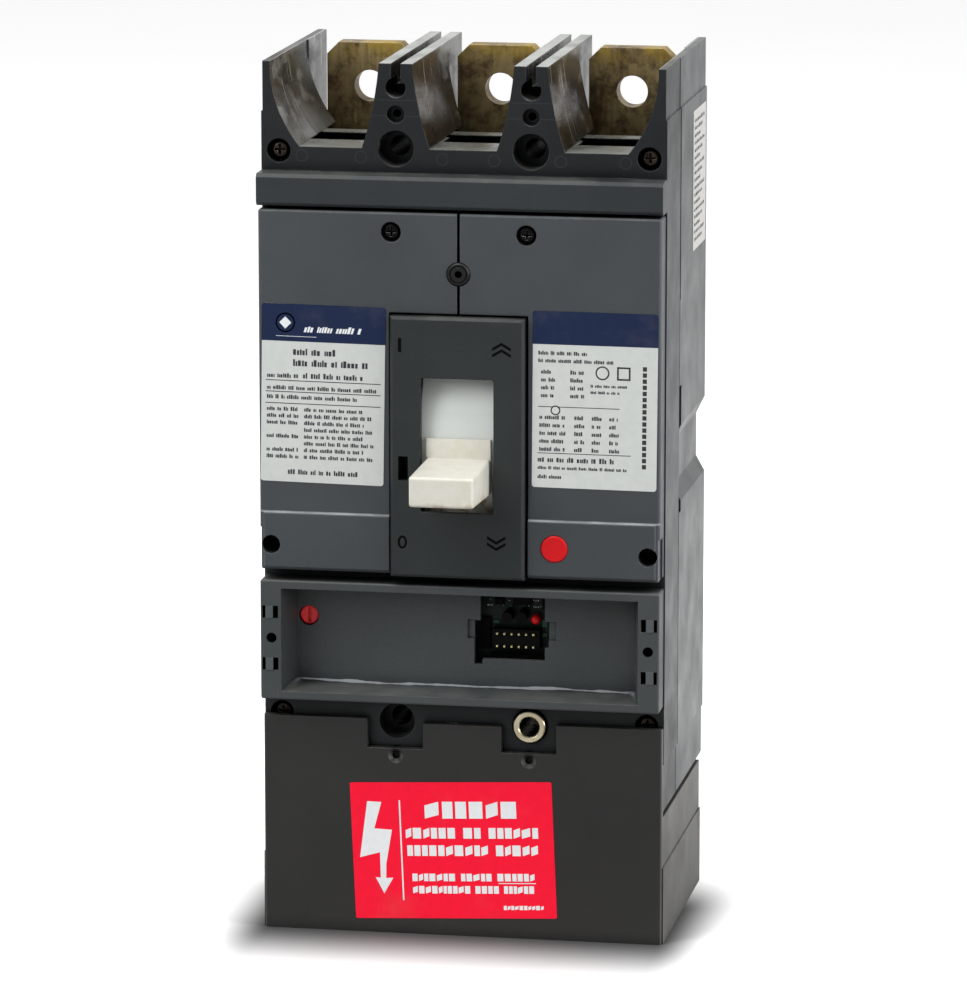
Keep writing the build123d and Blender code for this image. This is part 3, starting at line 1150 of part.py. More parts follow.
with BuildPart() as handle_yoke:
    for x in (-YOKE_OUT, YOKE_IN):
        place, length, height = bar(HANDLE_PIVOT, polar(HANDLE_PIVOT, YOKE_LOW_R - 3, YOKE_REST), 5.0)
        with BuildSketch(across(x)):
            with Locations(place):
                SlotCenterToCenter(length, height)
        extrude(amount=YOKE_OUT - YOKE_IN)
        a, b, c, d, e, f = arc_band(YOKE_LOW_R - 6, YOKE_HIGH_R, *YOKE_ARC)
        with BuildSketch(across(x)):
            with BuildLine():
                ThreePointArc(a, b, c)
                Line(c, d)
                ThreePointArc(d, e, f)
                Line(f, a)
            make_face()
        extrude(amount=YOKE_OUT - YOKE_IN)
    a, b, c, d, e, f = arc_band(YOKE_LOW_R, YOKE_HIGH_R, *YOKE_ARC)
    with BuildSketch(across(-YOKE_OUT)):
        with BuildLine():
            ThreePointArc(a, b, c)
            Line(c, d)
            ThreePointArc(d, e, f)
            Line(f, a)
        make_face()
    extrude(amount=2 * YOKE_OUT)
    for x in (-FRAME_OUT, YOKE_OUT - 0.5):
        with BuildSketch(across(x)):
            with Locations(HANDLE_PIVOT):
                Circle(YOKE_PIVOT_R)
        extrude(amount=FRAME_OUT - YOKE_OUT + 0.5)
write(handle_yoke, "handle_yoke")

with BuildPart() as handle_shield:
    for start, end, half in (SHIELD_WIDE, SHIELD_NARROW):
        a, b, c, d, e, f = arc_band(SHIELD_IN, SHIELD_OUT, start, end)
        with BuildSketch(across(-half)):
            with BuildLine():
                ThreePointArc(a, b, c)
                Line(c, d)
                ThreePointArc(d, e, f)
                Line(f, a)
            make_face()
        extrude(amount=2 * half)
    # window for the neck of the handle
    with BuildSketch(turned(-NECK_W / 2 - NECK_GAP, HANDLE_PIVOT, YOKE_REST)):
        with Locations((SHIELD_IN, 0)):
            Rectangle(8, NECK_H + 2 * NECK_GAP)
    extrude(amount=NECK_W + 2 * NECK_GAP, mode=Mode.SUBTRACT)
write(handle_shield, "handle_shield")

PADDLE_ROOT = ((-101.5, -4.9), (-101.5, -17.5))
PADDLE_TIP = ((-HANDLE_TIP, -5.4), (-HANDLE_TIP, -15.8))
TIP_ROUND, PADDLE_ROUND = 1.1, 0.9

with BuildPart() as handle:
    # skirt that closes the slot
    a, b, c, d, e, f = arc_band(SKIRT_IN, SKIRT_OUT, SKIRT_FROM, SKIRT_TO)
    with BuildSketch(across(-HANDLE_W / 2 - 0.2)):
        with BuildLine():
            ThreePointArc(a, b, c)
            Line(c, d)
            ThreePointArc(d, e, f)
            Line(f, a)
        make_face()
    extrude(amount=HANDLE_W + 0.4)
    # paddle
    with BuildSketch(across(-HANDLE_W / 2)):
        with BuildLine():
            Polyline(PADDLE_ROOT[0], PADDLE_TIP[0], PADDLE_TIP[1], PADDLE_ROOT[1], close=True)
        make_face()
    extrude(amount=HANDLE_W)
    tip_edges = faces().sort_by(Axis.Y)[0].edges()
    fillet(tip_edges, TIP_ROUND)
    long_edges = edges().filter_by(lambda e: abs(e.tangent_at(0.5).Y) > 0.95 and e.length > 20)
    fillet(long_edges, PADDLE_ROUND)
    # neck down to the yoke
    neck_end = SKIRT_IN + 0.4
    with BuildSketch(turned(-NECK_W / 2, HANDLE_PIVOT, YOKE_REST)):
        with Locations(((YOKE_HIGH_R + neck_end) / 2 + 0.05, 0)):
            Rectangle(neck_end - YOKE_HIGH_R - 0.02, NECK_H)
    extrude(amount=NECK_W)
write(handle, "handle")

MAIN_SPRING_GAP = 2.6           # the springs start this far beyond the knee
MAIN_SPRING_SHORT = 3.4         # and are this much shorter than knee to hook
MAIN_SPRING_X, MAIN_SPRING_R, MAIN_SPRING_WIRE = 8.6, 2.1, 0.5
hook = polar(HANDLE_PIVOT, YOKE_LOW_R - 1.0, YOKE_REST)
pull = (0, hook[0] - KNEE[0], hook[1] - KNEE[1])
pull_length = math.hypot(pull[1], pull[2])
unit = (pull[1] / pull_length, pull[2] / pull_length)
spring_foot = (KNEE[0] + unit[0] * MAIN_SPRING_GAP, KNEE[1] + unit[1] * MAIN_SPRING_GAP)
main_length = pull_length - MAIN_SPRING_SHORT
main_coils = [coil((x, *spring_foot), pull, main_length, MAIN_SPRING_R, MAIN_SPRING_WIRE, 12)
              for x in (-MAIN_SPRING_X, MAIN_SPRING_X)]
with BuildPart() as main_springs:
    add(main_coils)
write(main_springs, "main_springs")

# ---------------------------------------------------------------- trip bar, button and flux shifter
TAB_X = -40.0
PLUNGER_Y = -73.0
PLUNGER_TIP = -48.3
TRIP_BAR_HALF, TRIP_BAR_R = 60.0, 3.3
LEVER_W, TAB_W = 8.0, 7.0

with BuildPart() as trip_bar:
    with BuildSketch(across(-TRIP_BAR_HALF)):
        with Locations(TRIP_BAR_AXIS):
            Circle(TRIP_BAR_R)
    extrude(amount=2 * TRIP_BAR_HALF)
    # lever behind the push button, standing up from the bar
    with BuildSketch(across(BUTTON_X - LEVER_W / 2)):
        with BuildLine():
            Polyline((-68.2, -46.0), (-63.8, -46.0), (-64.4, BUTTON_Z + 2.5), (-66.4, BUTTON_Z + 2.5),
                     close=True)
        make_face()
    extrude(amount=LEVER_W)
    # tab above the flux shifter plunger, pointing forward
    with BuildSketch(across(TAB_X - TAB_W / 2)):
        with BuildLine():
            Polyline((-66.0, -43.5), (-66.0, -47.5), (-69.5, -46.5), (-79.0, -46.5), (-79.0, -44.8),
                     close=True)
        make_face()
    extrude(amount=TAB_W)
write(trip_bar, "trip_bar")

with BuildPart() as trip_bar_spring:
    add(coil((52, TRIP_BAR_AXIS[0], TRIP_BAR_AXIS[1]), (1, 0, 0), 6.0, 4.6, 0.4, 4))
write(trip_bar_spring, "trip_bar_spring")

BUTTON_HEAD = 99.4
BUTTON_STEM_END = 68.0
BUTTON_R, BUTTON_STEM_R = 4.6, 2.5
BUTTON_RISE, BUTTON_ROUND = 0.9, 0.7

with BuildPart() as trip_button:
    with BuildSketch(face(BUTTON_HEAD)):
        with Locations((BUTTON_X, BUTTON_Z)):
            Circle(BUTTON_R)
    extrude(amount=FRONT + BUTTON_RISE - BUTTON_HEAD)
    fillet(edges().filter_by(GeomType.CIRCLE).group_by(Axis.Y)[0], BUTTON_ROUND)
    with BuildSketch(face(BUTTON_STEM_END)):
        with Locations((BUTTON_X, BUTTON_Z)):
            Circle(BUTTON_STEM_R)
    extrude(amount=BUTTON_HEAD - BUTTON_STEM_END)
write(trip_button, "trip_button")

with BuildPart() as trip_button_spring:
    add(coil((BUTTON_X, -DECK - 0.5, BUTTON_Z), (0, -1, 0), BUTTON_HEAD - DECK - 1.0, 3.4, 0.4, 3))
write(trip_button_spring, "trip_button_spring")

HOUSING_HALF, HOUSING_LOW, HOUSING_HIGH = 60.8, -90.3, -50.8
HOUSING_BACK, HOUSING_FRONT, HOUSING_WALL = 63.4, 85.6, 1.6
BOARD_LOW, BOARD_HIGH, BOARD_BACK, BOARD_T = -87.5, -53.5, 77.6, 1.6
BOARD_W = 116.0
POST_PITCH, POST_R = (104.0, 26.0), 2.4
PLUNGER_HOLE_R = 2.6
board_front = BOARD_BACK + BOARD_T

with BuildPart() as trip_unit_housing:
    housing_z = (HOUSING_LOW + HOUSING_HIGH) / 2
    with BuildSketch(face(HOUSING_BACK)):
        with Locations((0, housing_z)):
            Rectangle(2 * HOUSING_HALF, HOUSING_HIGH - HOUSING_LOW)
    extrude(amount=HOUSING_FRONT - HOUSING_BACK)
    with BuildSketch(face(HOUSING_BACK + HOUSING_WALL)):
        with Locations((0, housing_z)):
            Rectangle(2 * (HOUSING_HALF - HOUSING_WALL), HOUSING_HIGH - HOUSING_LOW - 2 * HOUSING_WALL)
    extrude(amount=HOUSING_FRONT - HOUSING_BACK, mode=Mode.SUBTRACT)
    with BuildSketch(Plane.XY.offset(HOUSING_HIGH - HOUSING_WALL - 1)):
        with Locations((TAB_X, PLUNGER_Y)):
            Circle(PLUNGER_HOLE_R)
    extrude(amount=HOUSING_WALL + 2, mode=Mode.SUBTRACT)
    # posts behind the circuit board
    with BuildSketch(face(HOUSING_BACK + HOUSING_WALL)):
        with GridLocations(*POST_PITCH, 2, 2):
            with Locations((0, housing_z)):
                Circle(POST_R)
    extrude(amount=BOARD_BACK - HOUSING_BACK - HOUSING_WALL)
write(trip_unit_housing, "trip_unit_housing")

SHIFTER_LOW, SHIFTER_HIGH = -75.0, -54.0
SHIFTER_W, SHIFTER_DEPTH = 13.0, 10.4
SHIFTER_BORE_LOW = -66.0
PLUNGER_R, PLUNGER_GAP, PLUNGER_FOOT = 1.8, 0.05, -63.5
with BuildPart() as flux_shifter:
    with BuildSketch(Plane.XY.offset(SHIFTER_LOW)):
        with Locations((TAB_X, PLUNGER_Y + 1.2)):
            Rectangle(SHIFTER_W, SHIFTER_DEPTH)
    extrude(amount=SHIFTER_HIGH - SHIFTER_LOW)
    with BuildSketch(Plane.XY.offset(SHIFTER_BORE_LOW)):
        with Locations((TAB_X, PLUNGER_Y)):
            Circle(PLUNGER_R + PLUNGER_GAP)
    extrude(amount=SHIFTER_HIGH - SHIFTER_BORE_LOW + 2, mode=Mode.SUBTRACT)
write(flux_shifter, "flux_shifter")

with BuildPart() as flux_plunger:
    with BuildSketch(Plane.XY.offset(PLUNGER_FOOT)):
        with Locations((TAB_X, PLUNGER_Y)):
            Circle(PLUNGER_R)
    extrude(amount=PLUNGER_TIP - PLUNGER_FOOT)
    chamfer(edges().filter_by(GeomType.CIRCLE).sort_by(Axis.Z)[-1], 0.5)
write(flux_plunger, "flux_plunger")

with BuildPart() as circuit_board:
    with BuildSketch(face(BOARD_BACK)):
        with Locations((0, (BOARD_LOW + BOARD_HIGH) / 2)):
            RectangleRounded(BOARD_W, BOARD_HIGH - BOARD_LOW, 1.5)
        with Locations((KNOB_X, KNOB_Z)):
            Circle(1.6, mode=Mode.SUBTRACT)
    extrude(amount=BOARD_T)
write(circuit_board, "circuit_board")

# rating plug socket: a block with two rows of six pins, and what stands on the board around it
HEADER_X, HEADER_Z = 16.6, -71.5
HEADER_W, HEADER_H, HEADER_T = 16.6, 6.8, 4.4
PIN_PITCH, ROW_PITCH, PIN_L, PIN_W = 2.54, 4.4, 6.4, 0.64
CAPACITORS, CAPACITOR_R, CAPACITOR_L = ((13.7, -63.4), (18.8, -63.2)), 1.9, 6.5
LAMP_AT, LAMP_R, LAMP_L = (23.4, -64.3), 1.7, 5.4
with BuildPart() as plug_header:
    with BuildSketch(face(board_front)):
        with Locations((HEADER_X, HEADER_Z)):
            Rectangle(HEADER_W, HEADER_H)
            with GridLocations(PIN_PITCH, ROW_PITCH, 6, 2):
                Rectangle(PIN_W + 0.06, PIN_W + 0.06, mode=Mode.SUBTRACT)
    extrude(amount=HEADER_T)
write(plug_header, "plug_header")

with BuildPart() as header_pins:
    with BuildSketch(face(board_front)):
        with Locations((HEADER_X, HEADER_Z)):
            with GridLocations(PIN_PITCH, ROW_PITCH, 6, 2):
                Rectangle(PIN_W, PIN_W)
    extrude(amount=PIN_L)
write(header_pins, "header_pins")

with BuildPart() as capacitors:
    with BuildSketch(face(board_front)):
        with Locations(*CAPACITORS):
            Circle(CAPACITOR_R)
    extrude(amount=CAPACITOR_L)
    fillet(edges().filter_by(GeomType.CIRCLE).group_by(Axis.Y)[0], 0.3)
write(capacitors, "capacitors")

with BuildPart() as indicator_lamp:
    with BuildSketch(face(board_front)):
        with Locations(LAMP_AT):
            Circle(LAMP_R)
    extrude(amount=LAMP_L)
    fillet(edges().filter_by(GeomType.CIRCLE).group_by(Axis.Y)[0], 1.5)
write(indicator_lamp, "indicator_lamp")

CHIPS = ((18.3, -58.3, 6.4, 3.2), (26.4, -58.6, 2.2, 5.0), (5.4, -70.2, 3.6, 11.0), (10.2, -59.0, 3.0, 2.2),
         (17.5, -78.6, 20.0, 3.0), (-14.0, -66.0, 18.0, 7.5), (-34.0, -80.0, 10.0, 5.0))
CHIP_T = 1.8
with BuildPart() as board_chips:
    with BuildSketch(face(board_front)):
        for x, z, width, height in CHIPS:
            with Locations((x, z)):
                Rectangle(width, height)
    extrude(amount=CHIP_T)
write(board_chips, "board_chips")

SWITCH_W, SWITCH_H, SWITCH_T = 6.0, 8.0, 3.6
KNOB_R, KNOB_STEM_R = 3.4, 1.42
KNOB_TOP = RECESS_FLOOR - 1.2
knob_back = board_front + SWITCH_T + 0.4

with BuildPart() as adjuster_switch:
    with BuildSketch(face(board_front)):
        with Locations((KNOB_X, KNOB_Z)):
            Rectangle(SWITCH_W, SWITCH_H)
            Circle(KNOB_STEM_R + 0.08, mode=Mode.SUBTRACT)
    extrude(amount=SWITCH_T)
write(adjuster_switch, "adjuster_switch")

with BuildPart() as adjuster_knob:
    with BuildSketch(face(knob_back)):
        with Locations((KNOB_X, KNOB_Z)):
            Circle(KNOB_R)
    extrude(amount=KNOB_TOP - knob_back)
    chamfer(edges().filter_by(GeomType.CIRCLE).sort_by(Axis.Y)[0], 0.4)
    with BuildSketch(face(KNOB_TOP)):
        with Locations((KNOB_X, KNOB_Z)):
            Rectangle(1.0, 5.2)
    extrude(amount=-1.6, mode=Mode.SUBTRACT)
    with BuildSketch(face(BOARD_BACK - 1)):
        with Locations((KNOB_X, KNOB_Z)):
            Circle(KNOB_STEM_R)
    extrude(amount=knob_back - BOARD_BACK + 1)
write(adjuster_knob, "adjuster_knob")

# ---------------------------------------------------------------- fasteners


def pan_screws(places, seat, head_r, head_h, shank_r, shank_l):
    """Cross-recess pan head screws; seat is the height their heads bear on."""
    with BuildPart() as screws:
        with BuildSketch(face(seat)):
            with Locations(*places):
                Circle(head_r)
        extrude(amount=head_h)
        fillet(edges().filter_by(GeomType.CIRCLE).group_by(Axis.Y)[0], head_h * 0.55)
        with BuildSketch(face(seat)):
            with Locations(*places):
                Circle(shank_r)
        extrude(amount=-shank_l)
        with BuildSketch(face(seat + head_h)):
            with Locations(*places):
                Rectangle(head_r * 1.15, head_r * 0.26)
                Rectangle(head_r * 0.26, head_r * 1.15)
        extrude(amount=-head_h * 0.75, mode=Mode.SUBTRACT)
    return screws


corners = [(x, z) for x in (-CORNER_X, CORNER_X) for z in (-CORNER_Z, CORNER_Z)]
write(pan_screws(corners, TERMINAL_FACE - CORNER_RECESS, 3.15, 2.4, 2.0, 48.0), "corner_screws")
tops = [(seam, ACCESSORY_SCREW_Z) for seam in SEAMS]
write(pan_screws(tops, SKIN_FRONT - SCREW_RECESS, 2.9, 1.9, 1.5, 16.0), "accessory_cover_screws")
deep = [(x, DEEP_SCREW_Z) for x in (-DEEP_SCREW_X, DEEP_SCREW_X)]
write(pan_screws(deep, DEEP_SEAT, 2.8, 1.9, 1.5, 12.0), "deep_cover_screws")

with BuildPart() as lug_cover_screws:
    for seam in SEAMS:
        with BuildSketch(face(LUG_FACE - 2.4)):
            with Locations((seam, -SMALL_HOLE_Z)):
                Circle(1.2)
        extrude(amount=-9)
write(lug_cover_screws, "lug_cover_screws")

with BuildPart() as mounting_sleeve:
    with BuildSketch(face(0)):
        with Locations((SEAMS[1], -MOUNT_Z)):
            Circle(SLEEVE_R)
            Circle(MOUNT_R, mode=Mode.SUBTRACT)
    extrude(amount=LUG_FACE - 1.2)
    chamfer(edges().filter_by(GeomType.CIRCLE).group_by(Axis.Y)[0], 0.4)
write(mounting_sleeve, "mounting_sleeve")
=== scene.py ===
import math
import random

import bmesh
import bpy
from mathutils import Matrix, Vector


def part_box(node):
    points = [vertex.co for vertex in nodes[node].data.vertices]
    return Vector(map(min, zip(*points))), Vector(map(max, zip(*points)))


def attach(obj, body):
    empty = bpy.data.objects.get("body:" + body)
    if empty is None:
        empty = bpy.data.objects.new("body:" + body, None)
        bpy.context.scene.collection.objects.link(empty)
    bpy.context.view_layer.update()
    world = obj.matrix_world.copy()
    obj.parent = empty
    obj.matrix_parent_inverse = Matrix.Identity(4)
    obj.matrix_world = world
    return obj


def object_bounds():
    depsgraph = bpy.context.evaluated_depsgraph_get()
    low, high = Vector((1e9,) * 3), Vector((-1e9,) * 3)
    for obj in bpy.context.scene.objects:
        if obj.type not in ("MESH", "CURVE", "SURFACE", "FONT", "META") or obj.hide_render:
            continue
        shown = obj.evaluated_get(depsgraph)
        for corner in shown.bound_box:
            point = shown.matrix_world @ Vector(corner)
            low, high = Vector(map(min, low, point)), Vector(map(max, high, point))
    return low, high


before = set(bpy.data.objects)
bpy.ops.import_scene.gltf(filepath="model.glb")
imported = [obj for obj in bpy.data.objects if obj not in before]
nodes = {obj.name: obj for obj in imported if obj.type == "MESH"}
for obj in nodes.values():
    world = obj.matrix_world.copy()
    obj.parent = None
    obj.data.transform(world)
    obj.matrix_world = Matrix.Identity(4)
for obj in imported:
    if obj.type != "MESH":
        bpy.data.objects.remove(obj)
cad_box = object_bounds()

MM = 0.001                      # the CAD's millimetres in the scene's metres


def linear(*srgb):
    """A colour picked as 0..255 screen values, as the linear RGBA that shaders use."""
    out = []
    for value in srgb:
        s = value / 255
        out.append(s / 12.92 if s <= 0.04045 else ((s + 0.055) / 1.055) ** 2.4)
    return (*out, 1.0)


# ---------------------------------------------------------------- shader building
EDGE_TURN = (0.02, 0.25)        # how far a rounded normal leans where an edge begins, and where it is full
FACING = (0.5, 0.7)             # share of the normal along an axis from which a surface faces that way
FACING_UP = (0.4, 0.95)


class Shader:
    """A material under construction: each method adds one node or a few and returns the output socket."""

    def __init__(self, name):
        self.material = bpy.data.materials.new(name)
        self.material.use_nodes = True
        self.tree = self.material.node_tree
        self.tree.nodes.clear()
        self.output = self.tree.nodes.new("ShaderNodeOutputMaterial")
        self.place = self.node("ShaderNodeTexCoord").outputs["Object"]
        self.normal = self.node("ShaderNodeNewGeometry").outputs["Normal"]

    def node(self, kind, settings=None, **inputs):
        made = self.tree.nodes.new(kind)
        for key, value in (settings or {}).items():
            setattr(made, key, value)
        for key, value in inputs.items():
            self.feed(made, key.replace("_", " "), value)
        return made

    def feed(self, made, key, value):
        """Links a socket to an input, or sets the input to a plain value."""
        socket = made.inputs[int(key)] if key.isdigit() else made.inputs[key]
        if isinstance(value, bpy.types.NodeSocket):
            self.tree.links.new(value, socket)
        else:
            socket.default_value = value

    def math(self, operation, a, b=0.0):
        made = self.node("ShaderNodeMath", {"operation": operation})
        self.feed(made, "0", a)
        self.feed(made, "1", b)
        return made.outputs[0]

    def times(self, first, *others):
        """The product of two or more values."""
        for other in others:
            first = self.math("MULTIPLY", first, other)
        return first

    def absolute(self, value):
        return self.math("ABSOLUTE", value)

    def stretch(self, scale):
        """Coordinates squeezed by a different amount along each axis."""
        made = self.node("ShaderNodeVectorMath", {"operation": "MULTIPLY"})
        self.feed(made, "0", self.place)
        self.feed(made, "1", scale)
        return made.outputs[0]

    def noise(self, scale, detail=3.0, rough=0.55, at=None):
        at = at or self.place
        made = self.node("ShaderNodeTexNoise", Vector=at, Scale=scale, Detail=detail, Roughness=rough)
        return made.outputs["Fac"]

    def streaks(self, scale, detail=3.0):
        """Noise drawn out by a different amount along each axis: the larger the number, the finer."""
        return self.noise(1.0, detail, at=self.stretch(scale))

    def ramp(self, value, low, high, start=0.0, end=1.0):
        """Value mapped from low..high to start..end, held at the ends."""
        made = self.node("ShaderNodeMapRange", {"clamp": True}, Value=value)
        for key, number in (("From Min", low), ("From Max", high), ("To Min", start), ("To Max", end)):
            made.inputs[key].default_value = number
        return made.outputs[0]

    def mix(self, share, a, b):
        """Colour a, turning to b as the share goes from 0 to 1."""
        made = self.node("ShaderNodeMix", {"data_type": "RGBA"})
        self.feed(made, "0", share)
        self.feed(made, "6", a)
        self.feed(made, "7", b)
        return made.outputs[2]

    def scaled(self, colour, factor):
        """A colour brightened or darkened by a varying factor."""
        made = self.node("ShaderNodeMix", {"data_type": "RGBA", "blend_type": "MULTIPLY"})
        self.feed(made, "0", 1.0)
        self.feed(made, "6", colour)
        self.feed(made, "7", factor)
        return made.outputs[2]

    def bump(self, height, depth, strength=1.0, normal=None):
        made = self.node("ShaderNodeBump", Height=height, Strength=strength, Distance=depth)
        if normal is not None:
            self.feed(made, "Normal", normal)
        return made.outputs[0]

    def rounded(self, radius):
        """The surface normal as if edges had this radius."""
        return self.node("ShaderNodeBevel", {"samples": 4}, Radius=radius).outputs[0]

    def edge(self, rounded_normal):
        """1 close to an edge, 0 on flat ground."""
        dot = self.node("ShaderNodeVectorMath", {"operation": "DOT_PRODUCT"})
        self.feed(dot, "0", rounded_normal)
        self.feed(dot, "1", self.normal)
        return self.ramp(self.math("SUBTRACT", 1.0, dot.outputs["Value"]), *EDGE_TURN)

    def hollow(self, distance):
        """Near 0 in a narrow hole, about 0.5 in a corner, 1 out in the open."""
        return self.node("ShaderNodeAmbientOcclusion", {"samples": 4}, Distance=distance).outputs["AO"]

    def component(self, vector, axis):
        return self.node("ShaderNodeSeparateXYZ", Vector=vector).outputs[axis]

    def facing(self, axis):
        """1 where the surface faces along an axis, either way."""
        return self.ramp(self.absolute(self.component(self.normal, axis)), *FACING)

    def facing_up(self):
        return self.ramp(self.component(self.normal, "Z"), *FACING_UP)

    def along(self, axis):
        """Position along an axis, in metres."""
        return self.component(self.place, axis)

    def past(self, axis, low, high, start=0.0, end=1.0):
        """Position along an axis, mapped from low..high millimetres to start..end."""
        return self.ramp(self.along(axis), low * MM, high * MM, start, end)

    def outside(self, axis, low, high, start=0.0, end=1.0):
        """As past, for the distance from the middle of the object on both sides."""
        return self.ramp(self.absolute(self.along(axis)), low * MM, high * MM, start, end)

    def finish(self, colour, rough, normal, **more):
        surface = self.node("ShaderNodeBsdfPrincipled")
        self.feed(surface, "Base Color", colour)
        self.feed(surface, "Roughness", rough)
        self.feed(surface, "Normal", normal)
        for key, value in more.items():
            self.feed(surface, key.replace("_", " "), value)
        self.tree.links.new(surface.outputs[0], self.output.inputs[0])
        return self.material


# ---------------------------------------------------------------- kinds of material
DUST = linear(150, 148, 140)
SOIL = linear(120, 112, 98)
BARE_METAL = linear(214, 212, 204)
STIPPLE_SCALE, WAVE_SCALE, WAVE_DEPTH = 1500, 28, 0.00035
GROOVE_DEPTH = 0.00003
PAPER_TOOTH = 0.00002
HOLE_REACH = 0.010              # how near the walls of a moulded hole are before painted shade darkens them
METAL_HOLE_REACH = 0.012


def molded(name, colour, worn, rough=0.46, grain=0.00006, mottle=0.14, dust=0.25, radius=0.0005,
           hole=0.14, shine=0.5, fleck=0.11, smear=None, polish=None, shade=None):
    """Moulded thermoset or thermoplastic: fine stipple, cloudy tone, rubbed edges, dust on top, and painted
    shade in holes.

    colour may be a function of the shader, which may paint shade or light by facing or place; smear mixes
    stains, painted highlights and painted light over the tone; polish changes the roughness; shade is
    painted shade that dims places that open into the dark inside; hole is how much of the tone and shine is
    left deep in a narrow hole, where painted shade darkens them, or None for a piece without any.
    """
    s = Shader(name)
    if callable(colour):
        colour = colour(s)
    corner = s.rounded(radius)
    rub = s.times(s.edge(corner), s.ramp(s.noise(140, 4), 0.42, 0.66))
    cloud = s.ramp(s.noise(16, 5), 0.3, 0.7, 1 - mottle, 1 + mottle)
    speck = s.ramp(s.noise(2600, 2), 0.35, 0.7, 1 - fleck, 1 + fleck)
    tone = s.scaled(colour, s.times(cloud, speck))
    scratch = s.ramp(s.streaks((900.0, 900.0, 26.0)), 0.70, 0.76)
    scuff = s.times(scratch, s.ramp(s.noise(22, 3), 0.52, 0.66, 0.0, 0.35))
    settled = s.times(s.facing_up(), s.ramp(s.noise(70, 5), 0.35, 0.75, 0.1, 1.0), dust)
    tone = s.mix(scuff, tone, worn)
    tone = s.mix(s.times(rub, 0.6), tone, worn)
    tone = s.mix(settled, tone, DUST)
    if smear:
        tone = smear(s, tone)
    gloss = s.ramp(s.noise(60, 4), 0.3, 0.7, rough - 0.07, rough + 0.08)
    gloss = s.math("ADD", gloss, s.times(rub, -0.1))
    if polish:
        gloss = polish(s, gloss)
    if hole is not None:
        # painted shade: the tone and the shine darken deep in narrow holes, and further where shade is
        # given
        depth = s.ramp(s.hollow(HOLE_REACH), 0.16, 0.62, hole, 1.0)
        if shade:
            depth = s.times(depth, shade(s))
        tone = s.scaled(tone, depth)
        shine = s.times(depth, shine)
    stipple = s.bump(s.noise(STIPPLE_SCALE, 3), grain, 0.9, corner)
    wave = s.bump(s.noise(WAVE_SCALE, 2), WAVE_DEPTH, 0.25, stipple)
    return s.finish(tone, gloss, wave, Specular_IOR_Level=shine)


def metal(name, colour, stained, rough=0.3, brushed=(40.0, 40.0, 1200.0), patches=60, amount=0.6,
          radius=0.0003, hole=0.08, smear=None):
    """Bare or plated metal: brushing along one axis, stains in patches, bright rubbed edges, painted shade
    deep in holes.
    """
    s = Shader(name)
    corner = s.rounded(radius)
    lines = s.streaks(brushed)
    stain = s.ramp(s.noise(patches, 6, 0.65), 0.42, 0.68, 0.0, amount)
    tone = s.mix(stain, colour, stained)
    tone = s.scaled(tone, s.ramp(lines, 0.3, 0.7, 0.86, 1.1))
    if smear:
        tone = smear(s, tone)
    rub = s.times(s.edge(corner), s.ramp(s.noise(240, 3), 0.4, 0.62, 0.0, 0.7))
    tone = s.mix(rub, tone, BARE_METAL)
    gloss = s.ramp(lines, 0.25, 0.75, rough - 0.08, rough + 0.1)
    gloss = s.math("ADD", gloss, s.times(stain, 0.22))
    grooves = s.bump(lines, GROOVE_DEPTH, 0.6, corner)
    # painted shade: the tone darkens deep in narrow holes, down to the hole share
    tone = s.scaled(tone, s.ramp(s.hollow(METAL_HOLE_REACH), 0.18, 0.5, hole, 1.0))
    return s.finish(tone, gloss, grooves, Metallic=1.0)


def printed(name, colour, rough=0.36, shine=0.5):
    """Ink or film on a label: slight unevenness, fine tooth, faint soiling."""
    s = Shader(name)
    tone = s.scaled(colour, s.ramp(s.noise(300, 4), 0.3, 0.7, 0.95, 1.02))
    soil = s.times(s.ramp(s.noise(45, 6, 0.7), 0.55, 0.8), 0.16)
    tone = s.mix(soil, tone, SOIL)
    gloss = s.ramp(s.noise(90, 4), 0.3, 0.7, rough - 0.06, rough + 0.1)
    return s.finish(tone, gloss, s.bump(s.noise(500, 3), PAPER_TOOTH, 0.6), Specular_IOR_Level=shine)


# ---------------------------------------------------------------- stains and wear in particular places
# each pair is where a change begins and where it is complete, in millimetres along one axis
STRIP_EDGE_Z = (91.1, 91.4)
WELL_WALLS_X = (66.8, 67.2)     # beyond these X the walls are the housing's outer sides
WELL_WALLS_Z = (98.5, 100.0)
VENT_LOW_Z, VENT_HIGH_Z = (90.5, 91.5), (99.0, 99.6)
VENT_Y = (-79.0, -77.0)
LIP_Z, LIP_WANDER = -87.3, 3.0
LIP_ENDS_X = (56.0, 60.0)
HANDLE_FOOT_Z = (-17.2, -13.5)
SHIELD_TOP_Z = (10.0, 22.5)
STEP_Z = -25.5                  # the step across each accessory cover
STEP_LINE = (0.22, 0.42)
STEP_FRONT_Y = (-101.5, -102.0)
SNAP_PAD_Y = (-103.12, -103.18)
FRESH_STRAP_Z = (119.5, 126.2)


def strip_and_shaded_ends(s):
    """The strip across the cover is greyer than the terminal faces beyond it, whose darker tone is partly
    painted shade for the shadowed terminal faces.
    """
    return s.mix(s.outside("Z", *STRIP_EDGE_Z), linear(40, 45, 47), linear(19, 23, 25))


def painted_side_sheen(s):
    """Painted sheen: faces that look sideways, along X, are lighter than the front, standing in for the
    glancing light from the side.
    """
    return s.mix(s.facing("X"), linear(27, 26, 25), linear(66, 65, 62))


def in_wells(s):
    """1 on the inner walls of the line-end wells, 0 on the front faces and elsewhere."""
    sideways = s.math("SUBTRACT", 1.0, s.facing("Y"))
    return s.times(sideways, s.outside("X", *WELL_WALLS_X, 1.0, 0.0), s.past("Z", *WELL_WALLS_Z))


